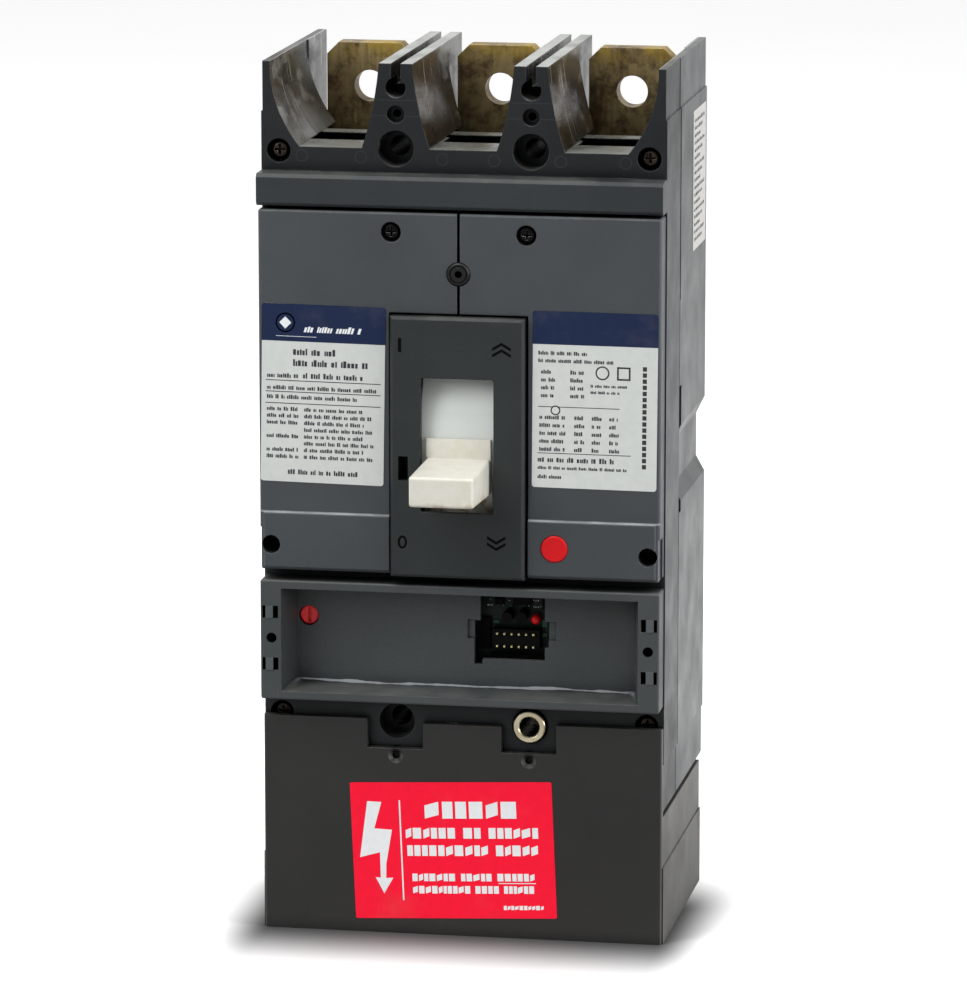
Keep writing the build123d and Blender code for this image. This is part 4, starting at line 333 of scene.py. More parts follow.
def heat_stains_and_sheen(s, tone):
    """Soot on the walls of the line-end wells, pale streaks and scores there that are partly rub marks and
    partly painted highlights, and dust on their floors.
    """
    walls = in_wells(s)
    soot = s.ramp(s.noise(34, 6, 0.65), 0.42, 0.56, 0.0, 0.85)
    tone = s.mix(s.times(walls, soot), tone, linear(58, 48, 37))
    # partly painted highlight: these pale streaks are partly rub marks and partly stand in for the walls'
    # bright reflections
    rubbed = s.ramp(s.streaks((30.0, 34.0, 75.0)), 0.54, 0.64, 0.0, 0.5)
    broken = s.ramp(s.noise(260, 4), 0.3, 0.6, 0.55, 1.0)
    tone = s.mix(s.times(walls, rubbed, broken), tone, linear(150, 149, 144))
    scores_and_glints = s.ramp(s.streaks((8.0, 420.0, 30.0), 2), 0.65, 0.69, 0.0, 0.5)
    tone = s.mix(s.times(walls, scores_and_glints), tone, linear(186, 184, 178))
    dusty = s.ramp(s.noise(90, 4), 0.3, 0.6, 0.35, 0.85)
    return s.mix(s.times(walls, s.facing_up(), dusty), tone, linear(150, 154, 148))


def slick_wells(s, gloss):
    """The well walls have been polished by heat and handling, in streaks."""
    slick = s.ramp(s.streaks((60.0, 40.0, 110.0)), 0.4, 0.6, 0.10, 0.30)
    walls = in_wells(s)
    kept = s.times(gloss, s.math("SUBTRACT", 1.0, walls))
    return s.math("ADD", kept, s.times(walls, slick))


def painted_vent_shade(s):
    """Painted shade: 0.05 on what is seen through the vents in the well floors, 1 elsewhere."""
    height = s.times(s.past("Z", *VENT_LOW_Z), s.past("Z", *VENT_HIGH_Z, 1.0, 0.0))
    deep = s.times(s.past("Y", *VENT_Y), s.facing("Y"))
    return s.ramp(s.times(height, deep), 0.0, 1.0, 1.0, 0.05)


def painted_lip_highlight(s, tone):
    """A painted highlight along the lower edge inside the trip unit recess: a pale line that wanders and
    breaks up.
    """
    wander = s.times(s.math("SUBTRACT", s.noise(22, 4), 0.5), LIP_WANDER * MM)
    off = s.absolute(s.math("SUBTRACT", s.math("SUBTRACT", s.along("Z"), LIP_Z * MM), wander))
    wide = s.ramp(s.streaks((60.0, 0.0, 0.0)), 0.40, 0.62, 0.05 * MM, 0.5 * MM)
    line = s.ramp(s.math("SUBTRACT", off, wide), 0.0, 0.18 * MM, 1.0, 0.0)
    inside = s.outside("X", *LIP_ENDS_X, 0.8, 0.0)
    return s.mix(s.times(line, inside), tone, linear(196, 202, 206))


def thumbed(s, tone):
    """The ivory handle is blotchy all over, with brown grease along its lower edges."""
    blots = s.ramp(s.noise(210, 5, 0.6), 0.44, 0.66, 0.0, 0.45)
    tone = s.mix(blots, tone, linear(198, 192, 172))
    spots = s.ramp(s.noise(240, 5, 0.6), 0.47, 0.62)
    return s.mix(s.times(s.past("Z", *HANDLE_FOOT_Z, 0.8, 0.0), spots), tone, linear(142, 116, 78))


def painted_light_above(s, tone):
    """Painted light: the shield is brightened towards the slot's upper end, where the slot's edge shades
    it.
    """
    return s.scaled(tone, s.past("Z", *SHIELD_TOP_Z, 1.0, 1.5))


def painted_step_highlight(s, tone):
    """Painted highlight: a broken bright line along the step across each accessory cover."""
    off = s.absolute(s.math("SUBTRACT", s.along("Z"), STEP_Z * MM))
    line = s.ramp(off, STEP_LINE[0] * MM, STEP_LINE[1] * MM, 1.0, 0.0)
    # how much of the painted highlight shows, varying along the line
    worn = s.ramp(s.streaks((60.0, 0.0, 0.0), 4), 0.35, 0.60, 0.25, 0.9)
    return s.mix(s.times(line, worn, s.past("Y", *STEP_FRONT_Y)), tone, linear(158, 162, 164))


def pads_and_lip(s, tone):
    """The painted highlight on the lip, and the paler pads between the snap slots of the end rails."""
    tone = painted_lip_highlight(s, tone)
    return s.mix(s.times(s.past("Y", *SNAP_PAD_Y), 0.4), tone, linear(86, 92, 96))


def strap_stains(s, tone):
    """Rust-brown blots over the plating, and fresher yellow plating along the outer edge."""
    blots = s.ramp(s.noise(170, 7, 0.68), 0.46, 0.62, 0.0, 0.75)
    tone = s.mix(blots, tone, linear(76, 56, 42))
    fresh = s.times(s.outside("Z", *FRESH_STRAP_Z, 0.0, 0.8), s.ramp(s.noise(90, 4), 0.40, 0.60))
    return s.mix(fresh, tone, linear(196, 166, 74))


# ---------------------------------------------------------------- materials of the CAD nodes
FINE_BRUSH = (300.0, 300.0, 300.0)

COVER = molded("cover_plastic", linear(56, 61, 65), linear(120, 124, 126), smear=painted_step_highlight)
BASE = molded("base_plastic", linear(40, 43, 45), linear(112, 116, 120), rough=0.36, hole=0.06,
              smear=heat_stains_and_sheen, polish=slick_wells, shade=painted_vent_shade)
STRIP = molded("strip_plastic", strip_and_shaded_ends, linear(92, 96, 98), rough=0.42, hole=0.05, shine=0.36,
               smear=heat_stains_and_sheen, polish=slick_wells, shade=painted_vent_shade)
BAND = molded("band_plastic", linear(56, 61, 62), linear(120, 124, 124), rough=0.5, mottle=0.16,
              smear=pads_and_lip, radius=0.0003, hole=0.08)
BLACK = molded("black_plastic", painted_side_sheen, linear(80, 78, 74), rough=0.44, mottle=0.25, hole=0.08)
ESCUTCHEON = molded("escutcheon_plastic", linear(31, 37, 37), linear(74, 80, 79), rough=0.5, shine=0.4)
PLUG = molded("plug_plastic", linear(17, 18, 18), linear(60, 60, 60), rough=0.38, radius=0.0002, shine=0.35)
SMALL_BLACK = molded("small_black_parts", linear(9, 9, 10), linear(26, 26, 26), rough=0.5, radius=0.0001,
                     shine=0.08, dust=0.05)
IVORY = molded("handle_plastic", linear(212, 210, 200), linear(188, 172, 140), rough=0.34, grain=0.00001,
               mottle=0.03, dust=0.05, radius=0.0006, hole=None, fleck=0.02, smear=thumbed)
BAFFLE = molded("baffle_plastic", linear(200, 205, 202), linear(150, 152, 148), rough=0.4, grain=0.00001,
                mottle=0.04, dust=0.1, hole=None, fleck=0.015, smear=painted_light_above)
RED = molded("red_plastic", linear(208, 6, 18), linear(228, 80, 76), rough=0.3, grain=0.00001, mottle=0.12,
             dust=0.05, radius=0.0003, shine=0.3, hole=None, fleck=0.04)
KNOB = molded("knob_plastic", linear(255, 22, 36), linear(250, 130, 120), rough=0.25, grain=0.00001,
              mottle=0.1, dust=0.05, radius=0.0004, hole=None)
BOARD = molded("board_green", linear(6, 34, 24), linear(60, 90, 70), rough=0.34, grain=0.00001, dust=0.1,
               hole=0.2, shine=0.25)
FIBRE = molded("fibre_sheet", linear(168, 132, 98), linear(206, 176, 140), rough=0.7, grain=0.0001,
               mottle=0.2)
RESIN = molded("cast_resin", linear(22, 30, 62), linear(60, 70, 110), rough=0.3, grain=0.00002)
STRAP = metal("plated_strap", linear(176, 156, 112), linear(96, 76, 54), rough=0.4,
              brushed=(900.0, 40.0, 60.0), amount=0.8, smear=strap_stains)
COPPER = metal("bare_copper", linear(200, 120, 84), linear(110, 60, 42), rough=0.34)
SILVER = metal("silver_alloy", linear(208, 206, 200), linear(110, 104, 98))
ALUMINIUM = metal("tinned_lug", linear(196, 197, 198), linear(140, 140, 138), rough=0.36)
SCREW = metal("screw_steel", linear(150, 148, 142), linear(52, 50, 48), rough=0.32, brushed=FINE_BRUSH,
              patches=160, amount=0.85)
DARK_SCREW = metal("dark_screw", linear(82, 71, 64), linear(26, 22, 20), brushed=FINE_BRUSH,
                   patches=400, amount=0.9, radius=0.0002)
BLACK_SCREW = metal("black_screw", linear(36, 36, 38), linear(11, 11, 12), rough=0.26, brushed=FINE_BRUSH,
                    patches=400, amount=0.8, radius=0.0002)
SHEET = metal("sheet_steel", linear(168, 168, 158), linear(112, 104, 84), rough=0.34)
SPRING = metal("spring_wire", linear(120, 120, 122), linear(60, 58, 56), brushed=(200.0, 200.0, 200.0))
GOLD = metal("pin_gold", linear(255, 240, 180), linear(190, 170, 110), rough=0.35, patches=500,
             amount=0.4, hole=0.7)
SLEEVE = metal("sleeve_metal", linear(232, 222, 190), linear(170, 152, 112), rough=0.22,
               brushed=(60.0, 1400.0, 60.0), patches=110, amount=0.5)
FILM = printed("label_film", linear(198, 202, 199))
SIDE_FILM = printed("side_label_film", linear(172, 170, 166), shine=0.3)
RED_FILM = printed("red_film", linear(244, 12, 50), rough=0.34, shine=0.22)

FINISH = {
    "rear_base": BASE, "front_cover": STRIP, "left_accessory_cover": COVER, "right_accessory_cover": COVER,
    "trip_unit_cover": BAND, "lug_cover": BLACK, "escutcheon": ESCUTCHEON, "lock_plug": PLUG,
    "left_label": FILM, "right_label": FILM, "side_label": SIDE_FILM, "warning_label": RED_FILM,
    "line_terminals": STRAP, "load_terminals": STRAP, "fixed_contacts": SILVER, "moving_contacts": SILVER,
    "load_lugs": ALUMINIUM, "lug_clamp_screws": SCREW, "lug_bolts": SCREW, "lug_nuts": SCREW,
    "arc_chute_plates": SHEET, "arc_chute_walls": FIBRE, "crossbar": BLACK, "contact_arms": COPPER,
    "contact_arm_pins": SCREW, "contact_springs": SPRING, "flexible_braids": COPPER,
    "current_transformers": RESIN, "mechanism_frames": SHEET, "cradle_pins": SCREW, "cradle": SHEET,
    "latch": SHEET, "upper_links": SHEET, "lower_links": SHEET, "handle_yoke": SHEET,
    "handle_shield": BAFFLE, "handle": IVORY, "main_springs": SPRING, "trip_bar": BLACK,
    "trip_bar_spring": SPRING, "trip_button": RED, "trip_button_spring": SPRING,
    "trip_unit_housing": BLACK, "flux_shifter": SHEET, "flux_plunger": SCREW, "circuit_board": BOARD,
    "plug_header": SMALL_BLACK, "header_pins": GOLD, "capacitors": SMALL_BLACK, "indicator_lamp": RED,
    "board_chips": SMALL_BLACK, "adjuster_switch": SMALL_BLACK, "adjuster_knob": KNOB,
    "corner_screws": DARK_SCREW, "accessory_cover_screws": BLACK_SCREW, "deep_cover_screws": BLACK_SCREW,
    "lug_cover_screws": BLACK_SCREW, "mounting_sleeve": SLEEVE,
}
for node_name, node in nodes.items():
    node.data.materials.clear()
    node.data.materials.append(FINISH[node_name])

# ---------------------------------------------------------------- printed and moulded marks
BLUE_INK = printed("blue_ink", linear(20, 34, 66), shine=0.25)
DARK_INK = printed("dark_ink", linear(40, 42, 48))
WHITE_INK = printed("white_ink", linear(226, 229, 231))
MARK_INK = printed("molded_mark", linear(6, 8, 8), rough=0.8, shine=0.05)
FAINT_INK = printed("faint_mark", linear(46, 51, 54), rough=0.5, shine=0.3)

# how far marks stand off what they lie on, in mm, so that each layer shows over the last
FIRST_LAYER, SECOND_LAYER, THIRD_LAYER = 0.03, 0.05, 0.07


def add_object(name, bm, material):
    """The mesh built so far as a new object in the scene."""
    mesh = bpy.data.meshes.new(name)
    bm.to_mesh(mesh)
    bm.free()
    mesh.materials.append(material)
    made = bpy.data.objects.new(name, mesh)
    bpy.context.scene.collection.objects.link(made)
    return made


class Label:
    """The flat front of a label node: places are millimetres right and down from its top left corner."""

    def __init__(self, node, slot="label_white", on_side=False):
        places = [v.co for v in nodes[node].data.vertices]
        self.slot = slot
        self.out = Vector((1, 0, 0)) if on_side else Vector((0, -1, 0))
        across = (lambda p: p.y) if on_side else (lambda p: p.x)
        top_left = min(places, key=lambda p: across(p) - p.z)
        top_right = max(places, key=lambda p: across(p) + p.z)
        low_left = min(places, key=lambda p: across(p) + p.z)
        self.right = self.direction(top_left, top_right)
        self.down = self.direction(top_left, low_left)
        rights = [p.dot(self.right) for p in places]
        downs = [p.dot(self.down) for p in places]
        self.width = (max(rights) - min(rights)) / MM
        proud = max(p.dot(self.out) for p in places)
        self.origin = self.right * min(rights) + self.down * min(downs) + self.out * proud

    def direction(self, start, end):
        """From one corner towards another, flat in the label's front."""
        way = end - start
        way -= self.out * way.dot(self.out)
        return way.normalized()

    def point(self, x, y, lift):
        return self.origin + self.right * (x * MM) + self.down * (y * MM) + self.out * (lift * MM)


class Front:
    """A plane facing forwards, given by its height in mm: places are X and Z in mm."""

    out = Vector((0, -1, 0))

    def __init__(self, height, slot):
        self.height = height
        self.slot = slot

    def point(self, x, y, lift):
        return Vector((x * MM, -(self.height + lift) * MM, y * MM))


def shapes(name, surface, outlines, ink, lift=FIRST_LAYER):
    """Flat marks on a Label or Front, each an outline of (x, y) points, as one piece."""
    bm = bmesh.new()
    for outline in outlines:
        bm.faces.new([bm.verts.new(surface.point(x, y, lift)) for x, y in outline])
    bmesh.ops.recalc_face_normals(bm, faces=bm.faces)
    for f in bm.faces:
        if f.normal.dot(surface.out) < 0:
            f.normal_flip()
    piece = add_object(name, bm, ink)
    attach(piece, "case")


def box2(x0, y0, x1, y1):
    return [(x0, y0), (x1, y0), (x1, y1), (x0, y1)]


def arc(cx, cy, r, start, turn, steps):
    """Points along an arc, both ends included; angles in degrees."""
    angles = [math.radians(start + turn * i / steps) for i in range(steps + 1)]
    return [(cx + r * math.cos(a), cy + r * math.sin(a)) for a in angles]


def disc(cx, cy, r):
    return arc(cx, cy, r, 0, 360, 28)[:-1]


def ring(cx, cy, rx, ry, thick, steps=32):
    """A closed band cut into quads, as a list of outlines."""
    out = []
    for i in range(steps):
        a, b = 2 * math.pi * i / steps, 2 * math.pi * (i + 1) / steps
        out.append([(cx + (rx - k) * math.cos(t), cy + (ry - k) * math.sin(t))
                    for t, k in ((a, 0), (b, 0), (b, thick), (a, thick))])
    return out


def chevron(cx, tip, half, drop, thick):
    """An arrowhead of two slanted bars; a negative drop points it down."""
    bar = math.copysign(thick, drop)
    foot = tip - drop
    return [[(cx + hand * half, foot), (cx, tip), (cx, tip - bar), (cx + hand * half, foot - bar)]
            for hand in (-1, 1)]


# the share of each block's step that is ink, and the space between groups
BLOCK_SHARE, DASH_SPACE = 0.74, 0.55            # in dashes: the space is a share of their size
WORD_BLOCK_SHARE, WORD_SPACE = 0.80, 0.7        # in words: it is a share of a block


def dashes(x, y, width, size, seed, slant=0.0):
    """A row of small blocks, spaced like words but spelling nothing."""
    dice = random.Random(seed)
    out = []
    at = x
    while at < x + width - size * 0.4:
        for _ in range(dice.randint(2, 7)):
            step = size * dice.uniform(0.30, 0.62)
            if at + step > x + width:
                break
            tall = size * dice.choice((0.72, 0.72, 1.0, 0.86))
            wide, lean = step * BLOCK_SHARE, slant * tall
            low, high = y + size, y + size - tall
            out.append([(at + lean, high), (at + wide + lean, high), (at + wide, low), (at, low)])
            at += step
        at += size * DASH_SPACE
    return out


def words(x, y, width, tall, counts, seed):
    """A row of upright blocks in groups of the given sizes; they spell nothing."""
    dice = random.Random(seed)
    groups = [[dice.uniform(0.75, 1.2) for _ in range(count)] for count in counts]
    unit = width / (sum(sum(group) for group in groups) + WORD_SPACE * (len(counts) - 1))
    out = []
    for group in groups:
        for weight in group:
            step = weight * unit
            wide = step * WORD_BLOCK_SHARE
            cut = dice.choice((0.0, 0.0, 0.22)) * tall
            out.append([(x, y + tall), (x, y + cut), (x + wide, y), (x + wide, y + tall - cut)])
            x += step
        x += WORD_SPACE * unit
    return out


LABEL_CORNER, BANNER_OVER = 1.0, 0.06           # the corner's radius, and how far the bar runs past it


def banner(width, height):
    """A bar filling the top of a label, just over its rounded corners and edges."""
    reach = LABEL_CORNER + BANNER_OVER
    points = [(width + BANNER_OVER, height), (-BANNER_OVER, height)]
    points += arc(LABEL_CORNER, LABEL_CORNER, reach, 180, 90, 6)
    return points + arc(width - LABEL_CORNER, LABEL_CORNER, reach, 270, 90, 6)


# ---------------------------------------------------------------- label artwork
# a row of dashes is x, y, width, size and seed
left = Label("left_label")
EMBLEM = (8.2, 6.4)
emblem_mark = arc(*EMBLEM, 2.1, -90, 360, 4)[:-1]
shapes("left_label_header", left, [banner(left.width, 12.8)], BLUE_INK)
shapes("left_label_emblem", left, [disc(*EMBLEM, 3.4)], WHITE_INK)
shapes("left_label_emblem_field", left, [disc(*EMBLEM, 2.9)], BLUE_INK, SECOND_LAYER)
shapes("left_label_emblem_mark", left, [emblem_mark], WHITE_INK, THIRD_LAYER)
header_line = dashes(14.6, 7.2, 20.5, 2.3, 3, slant=0.3) + [box2(5.0, 11.0, 19.0, 11.15)]
shapes("left_label_header_line", left, header_line, WHITE_INK, SECOND_LAYER)

LEFT_ROWS = ((11.0, 15.2, 15.5, 2.3, 11), (11.0, 19.0, 26.5, 2.3, 12), (2.0, 24.0, 11.0, 1.5, 13),
             (14.5, 23.6, 21.0, 1.9, 14), (2.0, 28.2, 38.5, 1.4, 15), (2.0, 31.4, 32.0, 1.4, 16))
LEFT_TABLE_TOP, LEFT_TABLE_STEP, LEFT_TABLE_ROWS = 35.6, 2.35, 8
LEFT_TABLE_GAPS = (3, 5)                        # rows with nothing in the first column
LEFT_RULES = (26.3, 30.2, 34.2)
left_marks = [mark for row in LEFT_ROWS for mark in dashes(*row)]
for index in range(LEFT_TABLE_ROWS):
    top = LEFT_TABLE_TOP + index * LEFT_TABLE_STEP
    if index not in LEFT_TABLE_GAPS:
        left_marks += dashes(2.0, top, 11.5, 1.35, 40 + index)
    left_marks += dashes(15.0, top, 24.5 if index % 2 else 21.0, 1.35, 60 + index)
left_marks += dashes(9.5, 57.2, 25.0, 1.7, 90)
left_marks += [box2(1.5, y, 41.5, y + 0.28) for y in LEFT_RULES]
shapes("left_label_print", left, left_marks, DARK_INK)

right = Label("right_label")
RIGHT_TOP_ROWS = ((2.0, 13.6, 17.0, 1.3, 101), (2.0, 16.2, 26.0, 1.3, 102))
RIGHT_LOW_ROWS = ((2.0, 50.0, 27.0, 1.8, 180), (2.0, 53.2, 31.0, 1.1, 181), (2.0, 56.2, 9.0, 1.3, 182),
                  (20.0, 24.6, 13.0, 1.0, 185), (20.0, 26.8, 11.0, 1.0, 186))
# a table is its rows, its top, the step down, the first seed, and its columns as x and width
RIGHT_TABLES = ((4, 20.0, 2.7, 110, ((3.0, 5.0), (13.0, 5.0))),
                (5, 35.6, 2.75, 140, ((2.5, 9.5), (14.5, 3.6), (20.5, 3.6), (26.5, 3.6))))
TABLE_SIZE, TABLE_SEED_STEP = 1.4, 7
shapes("right_label_header", right, [banner(right.width, 11.3)], BLUE_INK)
right_marks = [mark for row in RIGHT_TOP_ROWS for mark in dashes(*row)]
for count, top, step, seed, columns in RIGHT_TABLES:
    for row in range(count):
        for column, (x, width) in enumerate(columns):
            row_seed = seed + TABLE_SEED_STEP * row + column
            right_marks += dashes(x, top + row * step, width, TABLE_SIZE, row_seed)
right_marks += [mark for row in RIGHT_LOW_ROWS for mark in dashes(*row)]
right_marks += [box2(2.0, 32.6, 30.0, 32.85), box2(2.0, 48.6, 34.0, 48.85)]
right_marks += [box2(37.8, 18 + 2.1 * i, 39.2, 19.5 + 2.1 * i) for i in range(17)]
shapes("right_label_print", right, right_marks, DARK_INK)
ROUND_SEAL, SMALL_SEAL = (24.0, 20.6), (8.0, 33.9)
seals = [disc(*ROUND_SEAL, 2.4), box2(29.0, 18.3, 33.6, 22.9), disc(*SMALL_SEAL, 1.7)]
seal_fields = [disc(*ROUND_SEAL, 1.9), box2(29.6, 18.9, 33.0, 22.3), disc(*SMALL_SEAL, 1.25)]
shapes("right_label_seals", right, seals, DARK_INK)
shapes("right_label_seal_fields", right, seal_fields, FILM, SECOND_LAYER)

side_marks = []
for row in range(17):
    side_marks += dashes(2.5, 3.0 + row * 2.6, 24.0 - 5.0 * (row % 3), 1.3, 200 + row)
shapes("side_label_print", Label("side_label", on_side=True), side_marks, DARK_INK)

# a falling zig-zag arrow, a bar, and rows of blocks in place of words
warning = Label("warning_label", "label_red")
ZIGZAG = ((5.9, 6.7), (10.9, 7.0), (8.0, 16.4), (14.2, 16.9), (11.7, 28.9), (11.4, 34.1), (13.9, 34.0),
          (10.5, 39.6), (7.7, 33.8), (9.5, 34.0), (9.6, 24.9), (2.5, 26.7))
# x, y, width and height of a row, and how many blocks are in each of its groups
WARNING_ROWS = ((26.0, 6.9, 33.5, 6.0, (6,)), (19.0, 16.2, 47.0, 3.8, (6, 2, 6)),
                (19.3, 22.4, 46.5, 3.8, (10, 5)), (20.7, 32.5, 43.3, 2.7, (7, 5, 6)),
                (20.7, 36.9, 43.0, 2.7, (10, 4, 6)), (52.4, 43.9, 14.3, 1.5, (10,)))
shapes("warning_label_arrow", warning, [ZIGZAG], WHITE_INK)
warning_marks = [box2(17.0, 6.4, 17.5, 42.0)]
for row in WARNING_ROWS:
    warning_marks += words(*row, seed=round(row[1] * 10))
warning_marks.append(box2(51.0, 35.8, 64.0, 36.1))
shapes("warning_label_print", warning, warning_marks, WHITE_INK)

# ---------------------------------------------------------------- marks on the mouldings
# on: a bar and a double arrowhead pointing up; off: a ring and one pointing down
ON_BAR, OFF_RING = (-19.7, 34.2), (-18.9, -34.0)
ON_BAR_HALF = (0.55, 2.4)
ON_ARROWS, OFF_ARROWS = (15.4, 36.0), (13.6, -35.9)
ARROW_HALF, ARROW_DROP, ARROW_BAR, ARROW_STEP = 3.2, 1.9, 1.0, 2.2
marks = [box2(ON_BAR[0] - ON_BAR_HALF[0], ON_BAR[1] - ON_BAR_HALF[1],
              ON_BAR[0] + ON_BAR_HALF[0], ON_BAR[1] + ON_BAR_HALF[1])]
marks += ring(*OFF_RING, 1.6, 2.3, 0.75)
for (x, tip), sign in ((ON_ARROWS, 1), (OFF_ARROWS, -1)):
    for step in (0.0, ARROW_STEP):
        marks += chevron(x, tip - sign * step, ARROW_HALF, sign * ARROW_DROP, ARROW_BAR)
plate = Front(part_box("escutcheon")[0].y / -MM, "escutcheon_grey")
shapes("escutcheon_marks", plate, marks, MARK_INK, 0.04)

# faint rings left by ejector pins on the terminal face, and witness lines across the barriers
TERMINAL_FACE = 93.7
EJECTOR_MARKS = ((-55.8, 96.5), (-35.3, 96.4), (-7.2, 96.2), (10.6, 96.2), (33.5, 96.4), (55.7, 96.5))
EJECTOR_R, EJECTOR_LINE = 2.1, 0.22
SEAM_X = 23.28                  # X of the walls between poles
LOW_LINE_Z, HIGH_LINE_Z = (110.55, 110.75), (115.95, 116.15)
faint = []
for x, z in EJECTOR_MARKS:
    faint += ring(x, z, EJECTOR_R, EJECTOR_R, EJECTOR_LINE, 24)
for seam in (-SEAM_X, SEAM_X):
    for low, high in ((-8.6, -3.1), (3.1, 8.6)):
        faint.append(box2(seam + low, LOW_LINE_Z[0], seam + high, LOW_LINE_Z[1]))
    faint.append(box2(seam - 6.8, HIGH_LINE_Z[0], seam + 6.8, HIGH_LINE_Z[1]))
shapes("molding_witness_marks", Front(TERMINAL_FACE, "molding_cover"), faint, FAINT_INK, 0.01)

# ---------------------------------------------------------------- small parts on the circuit board
SOLDER = metal("solder_tin", linear(226, 230, 232), linear(120, 124, 124), rough=0.25, patches=600,
               amount=0.5, hole=0.6)
PALE_PARTS = molded("pale_board_parts", linear(120, 132, 122), linear(170, 178, 170), rough=0.4,
                    radius=0.0001, hole=0.5)
GREEN_PARTS = molded("green_board_parts", linear(16, 92, 58), linear(60, 130, 96), rough=0.35,
                     radius=0.0001, hole=0.5)
BLOCK_TRIM = 0.12                               # chamfer round the top of each block
CORNERS = ((-1, -1), (1, -1), (1, 1), (-1, 1))


def rectangle(bm, x, z, wide, tall, rise):
    """Four new corners round (x, z), at a height in front of the rear face, in mm."""
    return [bm.verts.new(Vector((x + u * wide / 2, -rise, z + v * tall / 2)) * MM) for u, v in CORNERS]


def board_parts(name, rows, base, material):
    """Low chamfered blocks standing on the board: each row is x, z, width, height and thickness in mm."""
    bm = bmesh.new()
    for x, z, wide, tall, thick in rows:
        foot = rectangle(bm, x, z, wide, tall, base)
        waist = rectangle(bm, x, z, wide, tall, base + thick - BLOCK_TRIM)
        crown = rectangle(bm, x, z, wide - 2 * BLOCK_TRIM, tall - 2 * BLOCK_TRIM, base + thick)
        bm.faces.new(crown)
        for lower, upper in ((foot, waist), (waist, crown)):
            for i in range(4):
                j = (i + 1) % 4
                bm.faces.new((lower[i], lower[j], upper[j], upper[i]))
    bmesh.ops.recalc_face_normals(bm, faces=bm.faces)
    piece = add_object(name, bm, material)
    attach(piece, "case")


# scattered over a grid: two-ended parts with a pad at each end, green parts, lone pads, or nothing
GRID_X, GRID_Z, GRID_STEP_X, GRID_STEP_Z = 7.2, -56.6, 2.25, 1.9
PAD_OFFSET = 0.85
dice = random.Random(7)
pads, two_ended, green = [], [], []
for column in range(9):
    for row in range(3):
        x = GRID_X + column * GRID_STEP_X + dice.uniform(-0.4, 0.4)
        z = GRID_Z - row * GRID_STEP_Z + dice.uniform(-0.3, 0.3)
        kind = dice.random()
        if kind < 0.3:
            two_ended.append((x, z, 1.3, 0.7, 0.5))
            pads += [(x + hand * PAD_OFFSET, z, 0.4, 0.7, 0.35) for hand in (-1, 1)]
        elif kind < 0.6:
            green.append((x, z, dice.uniform(0.9, 1.9), dice.uniform(0.5, 1.2), 0.3))
        elif kind < 0.8:
            pads.append((x, z, 0.5, 0.5, 0.6))
green += [(26.0, -66.4, 1.9, 2.6, 0.4), (25.9, -70.4, 1.8, 1.6, 0.4), (9.0, -66.4, 2.2, 1.2, 0.4)]
board_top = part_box("circuit_board")[0].y / -MM
board_parts("board_solder_pads", pads, board_top, SOLDER)
board_parts("board_small_parts", two_ended, board_top, PALE_PARTS)
board_parts("board_green_parts", green, board_top, GREEN_PARTS)

# ---------------------------------------------------------------- floor
low_box, high_box = cad_box
HALF_WIDTH = (high_box[0] - low_box[0]) / 2
FOOT_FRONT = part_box("lug_cover")[0].y
SIDE_REACH, FRONT_REACH = 0.022, 0.072          # how far the soft contact shadow runs
SIDE_START, FRONT_START = 0.002, 0.004          # how far under the object it begins
BACK_START = 0.05                               # towards the back it is gone at the rear face
DARKEST = 0.055
FLOOR_SEEN, FLOOR_BOUNCED = (1.16, 1.16, 1.16, 1), (0.92, 0.92, 0.92, 1)
FLOOR_HALF = 6.0


def shadow(s):
    """The soft shadow round the foot of the object: dark at the foot, gone at its reach."""
    beside = s.ramp(s.absolute(s.along("X")), HALF_WIDTH - SIDE_START, HALF_WIDTH + SIDE_REACH)
    ahead = s.ramp(s.along("Y"), FOOT_FRONT + FRONT_START, FOOT_FRONT - FRONT_REACH)
    behind = s.ramp(s.along("Y"), -BACK_START, 0.0)
    lengthways = s.math("MAXIMUM", ahead, behind)
    away = s.math("SQRT", s.math("ADD", s.times(beside, beside), s.times(lengthways, lengthways)))
    away = s.math("MINIMUM", away, 1.0)
    eased = s.times(away, away, s.math("SUBTRACT", 3.0, s.times(away, 2.0)))
    return s.math("ADD", DARKEST, s.times(eased, 1 - DARKEST))


def floor_paper(name):
    """Matt paper: shown in one tone, while the light it throws back on the object is another."""
    s = Shader(name)
    camera_ray = s.node("ShaderNodeLightPath").outputs["Is Camera Ray"]
    behind = s.ramp(s.along("Y"), -0.2, 0.3, 0.4, 1.0)
    tone = s.mix(camera_ray, s.scaled(FLOOR_BOUNCED, behind), s.scaled(FLOOR_SEEN, shadow(s)))
    tone = s.scaled(tone, s.ramp(s.noise(3, 2), 0.3, 0.7, 0.985, 1.0))
    return s.finish(tone, 0.9, s.bump(s.noise(400, 2), PAPER_TOOTH, 0.2), Specular_IOR_Level=0.0)


bm = bmesh.new()
bmesh.ops.create_grid(bm, x_segments=4, y_segments=4, size=FLOOR_HALF)
floor = add_object("floor", bm, floor_paper("floor_white"))
floor.location = (0, 0, low_box[2])

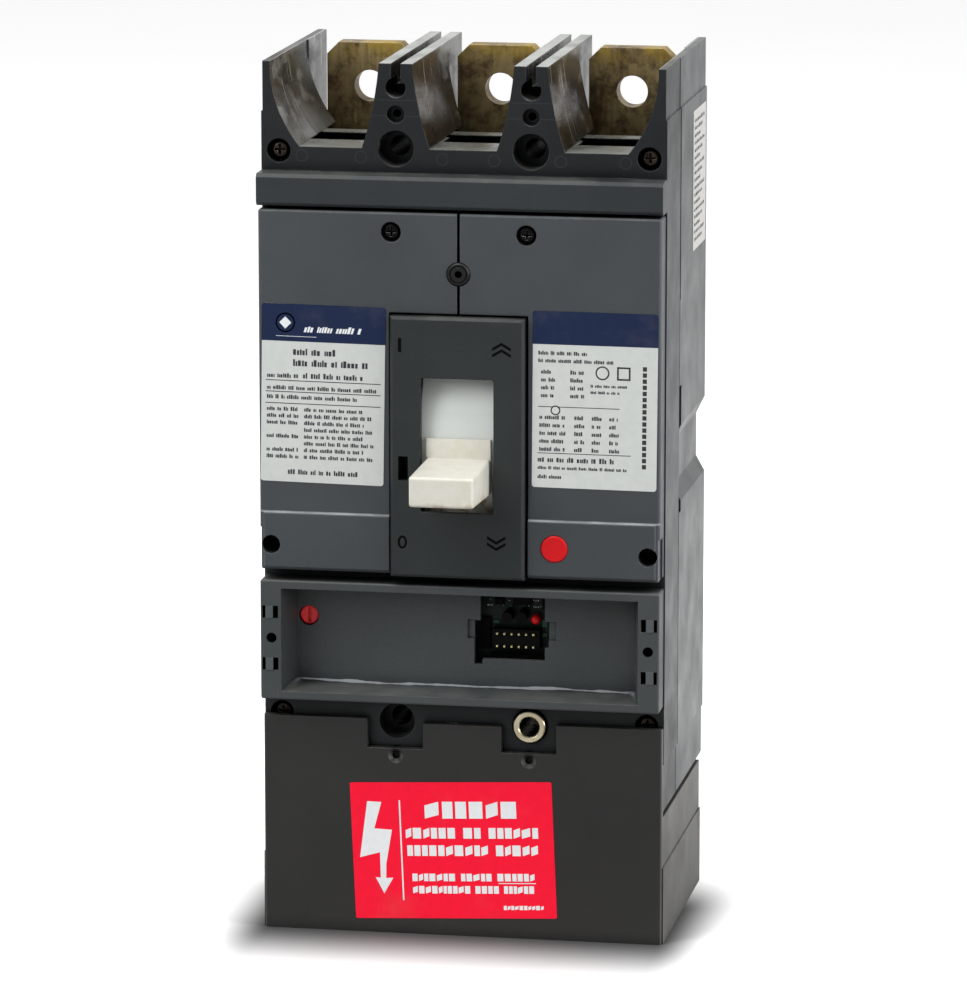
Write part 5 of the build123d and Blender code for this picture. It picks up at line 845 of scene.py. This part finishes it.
# ---------------------------------------------------------------- light and camera
# the studio is darker on the camera's side, so that front faces don't mirror a white room
DIM_SIDE, BRIGHT_SIDE, BACKDROP = (-0.9, 0.30), (-0.2, 0.85), 1.05      # Y of the direction, and strength
world = bpy.data.worlds.new("studio")
bpy.context.scene.world = world
world.use_nodes = True
tree = world.node_tree
background = tree.nodes["Background"]
background.inputs["Color"].default_value = (1, 1, 1, 1)
towards = tree.nodes.new("ShaderNodeSeparateXYZ")
tree.links.new(tree.nodes.new("ShaderNodeTexCoord").outputs["Generated"], towards.inputs[0])
dim = tree.nodes.new("ShaderNodeMapRange")
tree.links.new(towards.outputs["Y"], dim.inputs["Value"])
dim.inputs["From Min"].default_value, dim.inputs["To Min"].default_value = DIM_SIDE
dim.inputs["From Max"].default_value, dim.inputs["To Max"].default_value = BRIGHT_SIDE
strength = tree.nodes.new("ShaderNodeMix")
tree.links.new(tree.nodes.new("ShaderNodeLightPath").outputs["Is Camera Ray"], strength.inputs[0])
tree.links.new(dim.outputs[0], strength.inputs[2])
strength.inputs[3].default_value = BACKDROP
tree.links.new(strength.outputs[0], background.inputs["Strength"])


def point_at(thing, place, target):
    """Puts a lamp or camera at a place, looking at the target, and into the scene."""
    thing.location = place
    thing.rotation_euler = (Vector(target) - Vector(place)).to_track_quat("-Z", "Y").to_euler()
    bpy.context.scene.collection.objects.link(thing)


LIGHT_TARGET = (0, -0.05, 0)
# place, width and height, and power
SOFTBOXES = {
    "right_softbox": ((1.4, -0.2, 0.6), (1.2, 1.4), 23.0),
    "top_softbox": ((-0.5, -0.9, 1.5), (1.0, 1.0), 16.0),
    "front_left_softbox": ((-1.3, -1.5, 0.9), (0.9, 0.9), 16.0),
}
for name, (place, size, power) in SOFTBOXES.items():
    data = bpy.data.lights.new(name, "AREA")
    data.shape = "RECTANGLE"
    data.size, data.size_y = size
    data.energy = power
    point_at(bpy.data.objects.new(name, data), place, LIGHT_TARGET)

CAMERA_LENS, CAMERA_SENSOR = 217.9, 36.0
CAMERA_PLACE, CAMERA_TARGET = (0.36656, -2.09274, 0.37955), (0.00868, -0.103, -0.01896)
camera_data = bpy.data.cameras.new("camera")
camera_data.lens = CAMERA_LENS
camera_data.sensor_width = CAMERA_SENSOR
camera = bpy.data.objects.new("camera", camera_data)
point_at(camera, CAMERA_PLACE, CAMERA_TARGET)
bpy.context.scene.camera = camera
bpy.context.scene.view_settings.view_transform = "Standard"
